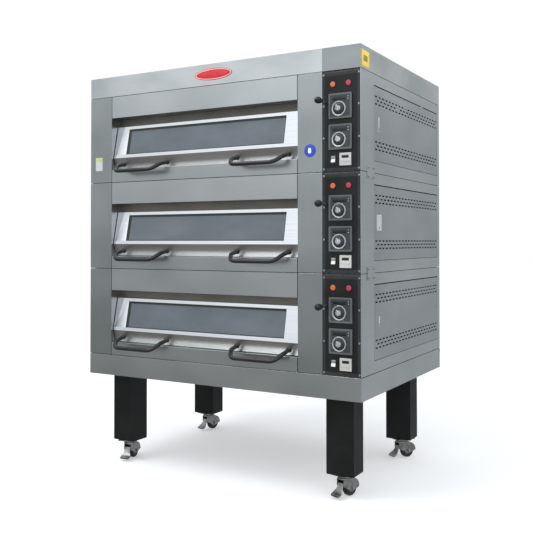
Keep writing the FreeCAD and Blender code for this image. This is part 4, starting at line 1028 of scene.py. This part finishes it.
def pedal(corner):
    """Curved toe pedal, wider towards its rolled toe."""
    stations = [(-0.0235, 0.0570, 0.0140), (-0.0255, 0.0500, 0.0142), (-0.0290, 0.0415, 0.0145),
                (-0.0345, 0.0325, 0.0180), (-0.0415, 0.0245, 0.0228), (-0.0490, 0.0190, 0.0248),
                (-0.0560, 0.0160, 0.0240), (-0.0605, 0.0148, 0.0205), (-0.0620, 0.0145, 0.0150)]
    bm = bmesh.new()
    rings = []
    for index, (x, z, half_w) in enumerate(stations):
        before = stations[max(index - 1, 0)]
        after = stations[min(index + 1, len(stations) - 1)]
        ahead = Vector((after[0] - before[0], 0, after[1] - before[1])).normalized()
        up = Vector((ahead.z, 0, -ahead.x)) * PEDAL_HALF_T
        middle = Vector((x, 0, z))
        edge = Vector((0, half_w, 0))
        lip = Vector((0, half_w - PEDAL_LIP, 0))
        rings.append([bm.verts.new(point) for point in (
            middle + up + lip, middle + edge, middle - up + lip,
            middle - up - lip, middle - edge, middle + up - lip)])
    skin_rings(bm, rings)
    barrel = [(-0.0145, 0.0026), (-0.0145, 0.0058), (-0.0140, 0.0062), (0.0140, 0.0062),
              (0.0145, 0.0058), (0.0145, 0.0026), (-0.0145, 0.0026)]
    add_lathe(bm, barrel, PEDAL_PIVOT, (0, 1, 0), 32)
    for ridge in (FIRST_RIDGE, -0.0515, -0.0560):
        drop = (ridge - FIRST_RIDGE) * TOE_SLOPE
        add_slab(bm, (ridge - 0.0010, -0.0160, 0.0170 + drop),
                 (ridge + 0.0010, 0.0160, 0.0215 + drop), 0.0006, 2)
    bm.transform(caster_frame(corner))
    piece = new_piece("toe_pedal_" + corner, bm, ["zinc_steel"],
                      "brake_" + corner, 50)
    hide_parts("caster_brake_" + corner)


# ---- rear ------------------------------------------------------------------------------------
GLAND_FLUTES = 24


def spigot_beads(deck):
    """Rolled bead at the open end of a steam spigot."""
    end_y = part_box("steam_outlets")[1].y
    centre = centre_of("damper_pull_" + deck)
    bm = bmesh.new()
    profile = [(-0.0100, 0.0300), (-0.0090, 0.0314), (-0.0070, 0.0320), (-0.0050, 0.0314),
               (-0.0040, 0.0300)]
    add_lathe(bm, profile + profile[:1], (centre.x, end_y, centre.z), (0, 1, 0), 64)
    new_piece("spigot_bead_" + deck, bm, ["stainless"], "oven")


def gland_nut():
    """Fluted dome nut of the supply-cable gland."""
    centre = centre_of("cable_gland")
    end_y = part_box("cable_gland")[1].y
    bm = bmesh.new()
    for flute in range(GLAND_FLUTES):
        turn = 2 * math.pi * flute / GLAND_FLUTES
        place = Matrix.Translation((centre.x, 0, centre.z)) @ Matrix.Rotation(turn, 4, "Y")
        rib = bmesh.new()
        add_slab(rib, (-0.0007, end_y - 0.0185, 0.0140), (0.0007, end_y - 0.0020, 0.0154), 0.0004, 2)
        rib.transform(place)
        merge(bm, rib)
    new_piece("gland_flutes", bm, ["gland_black"], "oven")


# ---- studio ---------------------------------------------------------------------------------
FLOOR_REACH = 30.0


def area_light(name, place, target, size, energy):
    light = bpy.data.lights.new(name, "AREA")
    light.shape = "RECTANGLE"
    light.size, light.size_y = size
    light.energy = energy
    obj = bpy.data.objects.new(name, light)
    obj.location = place
    direction = Vector(target) - Vector(place)
    obj.rotation_euler = direction.to_track_quat("-Z", "Y").to_euler()
    bpy.context.scene.collection.objects.link(obj)


def studio():
    """Pale floor, pale surroundings and large soft lights."""
    paint = Paint("floor_pale", (0.86, 0.86, 0.86), 0.9, Emission_Strength=0.34)
    paint.set("Emission Color", (1.0, 1.0, 1.0, 1.0))
    paint.color(paint.ramp(paint.noise(3.0), (0.84, 0.84, 0.84), (0.88, 0.88, 0.88)))
    bm = bmesh.new()
    for x, y in ((-1, -1), (1, -1), (1, 1), (-1, 1)):
        bm.verts.new((x * FLOOR_REACH, y * FLOOR_REACH, 0))
    bm.faces.new(bm.verts)
    mesh = bpy.data.meshes.new("floor")
    bm.to_mesh(mesh)
    bm.free()
    mesh.materials.append(paint.material)
    floor = bpy.data.objects.new("floor", mesh)
    bpy.context.scene.collection.objects.link(floor)
    floor.visible_glossy = False
    bpy.context.scene.world = surroundings()
    area_light("key", (-1.4, -2.2, 4.2), (0, -0.3, 1.0), (2.2, 1.6), 55)
    area_light("fill", (3.6, 1.6, 3.0), (0, 0, 1.0), (2.0, 2.0), 14)
    bpy.context.scene.view_settings.view_transform = "Standard"


def direction_share(nodes, links, value, low, high, to_low=0.0, to_high=1.0):
    """Map one component of the room's direction from one range to another."""
    node = nodes.new("ShaderNodeMapRange")
    for socket, number in (("From Min", low), ("From Max", high),
                           ("To Min", to_low), ("To Max", to_high)):
        node.inputs[socket].default_value = number
    links.new(value, node.inputs["Value"])
    return node.outputs["Result"]


def color_mix(nodes, links, share, first, second):
    """Mix of a linked colour and a constant one."""
    node = nodes.new("ShaderNodeMix")
    node.data_type = "RGBA"
    node.inputs[7].default_value = second
    links.new(share, node.inputs["Factor"])
    links.new(first, node.inputs[6])
    return node.outputs[2]


def surroundings():
    """Room light: brighter upwards and to the right in front, even behind the oven, and
    plain white where the camera looks straight at it."""
    world = bpy.data.worlds.new("studio")
    world.use_nodes = True
    nodes = world.node_tree.nodes
    links = world.node_tree.links
    place = nodes.new("ShaderNodeTexCoord")
    split = nodes.new("ShaderNodeSeparateXYZ")
    links.new(place.outputs["Generated"], split.inputs["Vector"])
    rise = nodes.new("ShaderNodeValToRGB")
    stops = rise.color_ramp.elements
    stops[0].position, stops[0].color = 0.36, (0.17, 0.17, 0.165, 1)
    stops[1].position, stops[1].color = 0.66, (0.92, 0.96, 1.0, 1)
    middle = stops.new(0.50)
    middle.color = (0.43, 0.45, 0.455, 1)
    level = direction_share(nodes, links, split.outputs["Z"], -1.0, 1.0)
    behind = direction_share(nodes, links, split.outputs["Y"], -0.3, 0.6)
    sideways = direction_share(nodes, links, split.outputs["X"], -0.70, -0.38, 0.86, 1.30)
    links.new(level, rise.inputs["Fac"])
    graded = nodes.new("ShaderNodeVectorMath")
    graded.operation = "SCALE"
    links.new(rise.outputs["Color"], graded.inputs["Vector"])
    links.new(sideways, graded.inputs["Scale"])
    room = color_mix(nodes, links, behind, graded.outputs["Vector"], (0.46, 0.485, 0.50, 1))
    seen = nodes.new("ShaderNodeLightPath").outputs["Is Camera Ray"]
    backdrop = color_mix(nodes, links, seen, room, (1.0, 1.0, 1.0, 1))
    links.new(backdrop, nodes["Background"].inputs["Color"])
    return world


def camera():
    data = bpy.data.cameras.new("camera")
    data.lens = 52.38
    data.sensor_width = 36.0
    data.shift_y = -0.073
    obj = bpy.data.objects.new("camera", data)
    obj.location = (1.7948, -3.1423, 0.9996)
    obj.rotation_euler = (math.radians(91.0), 0, math.radians(29.91))
    bpy.context.scene.collection.objects.link(obj)
    bpy.context.scene.camera = obj


# ---- everything ------------------------------------------------------------------------------
camera()
studio()
dress_cad_nodes()
for deck_name in DECKS:
    glass_seal_and_shadow(deck_name)
    door_handles(deck_name)
    panel_film(deck_name)
    timer_face(deck_name)
    lamp_bezels(deck_name)
    damper_pull(deck_name)
    spigot_beads(deck_name)
    for heat_name in HEATS:
        meter_face(deck_name, heat_name)
        dial(deck_name, heat_name)
for corner_name in CORNERS:
    caster_wheel(corner_name)
    axle_nuts(corner_name)
    raceway(corner_name)
    pedal(corner_name)
labels()
gland_nut()
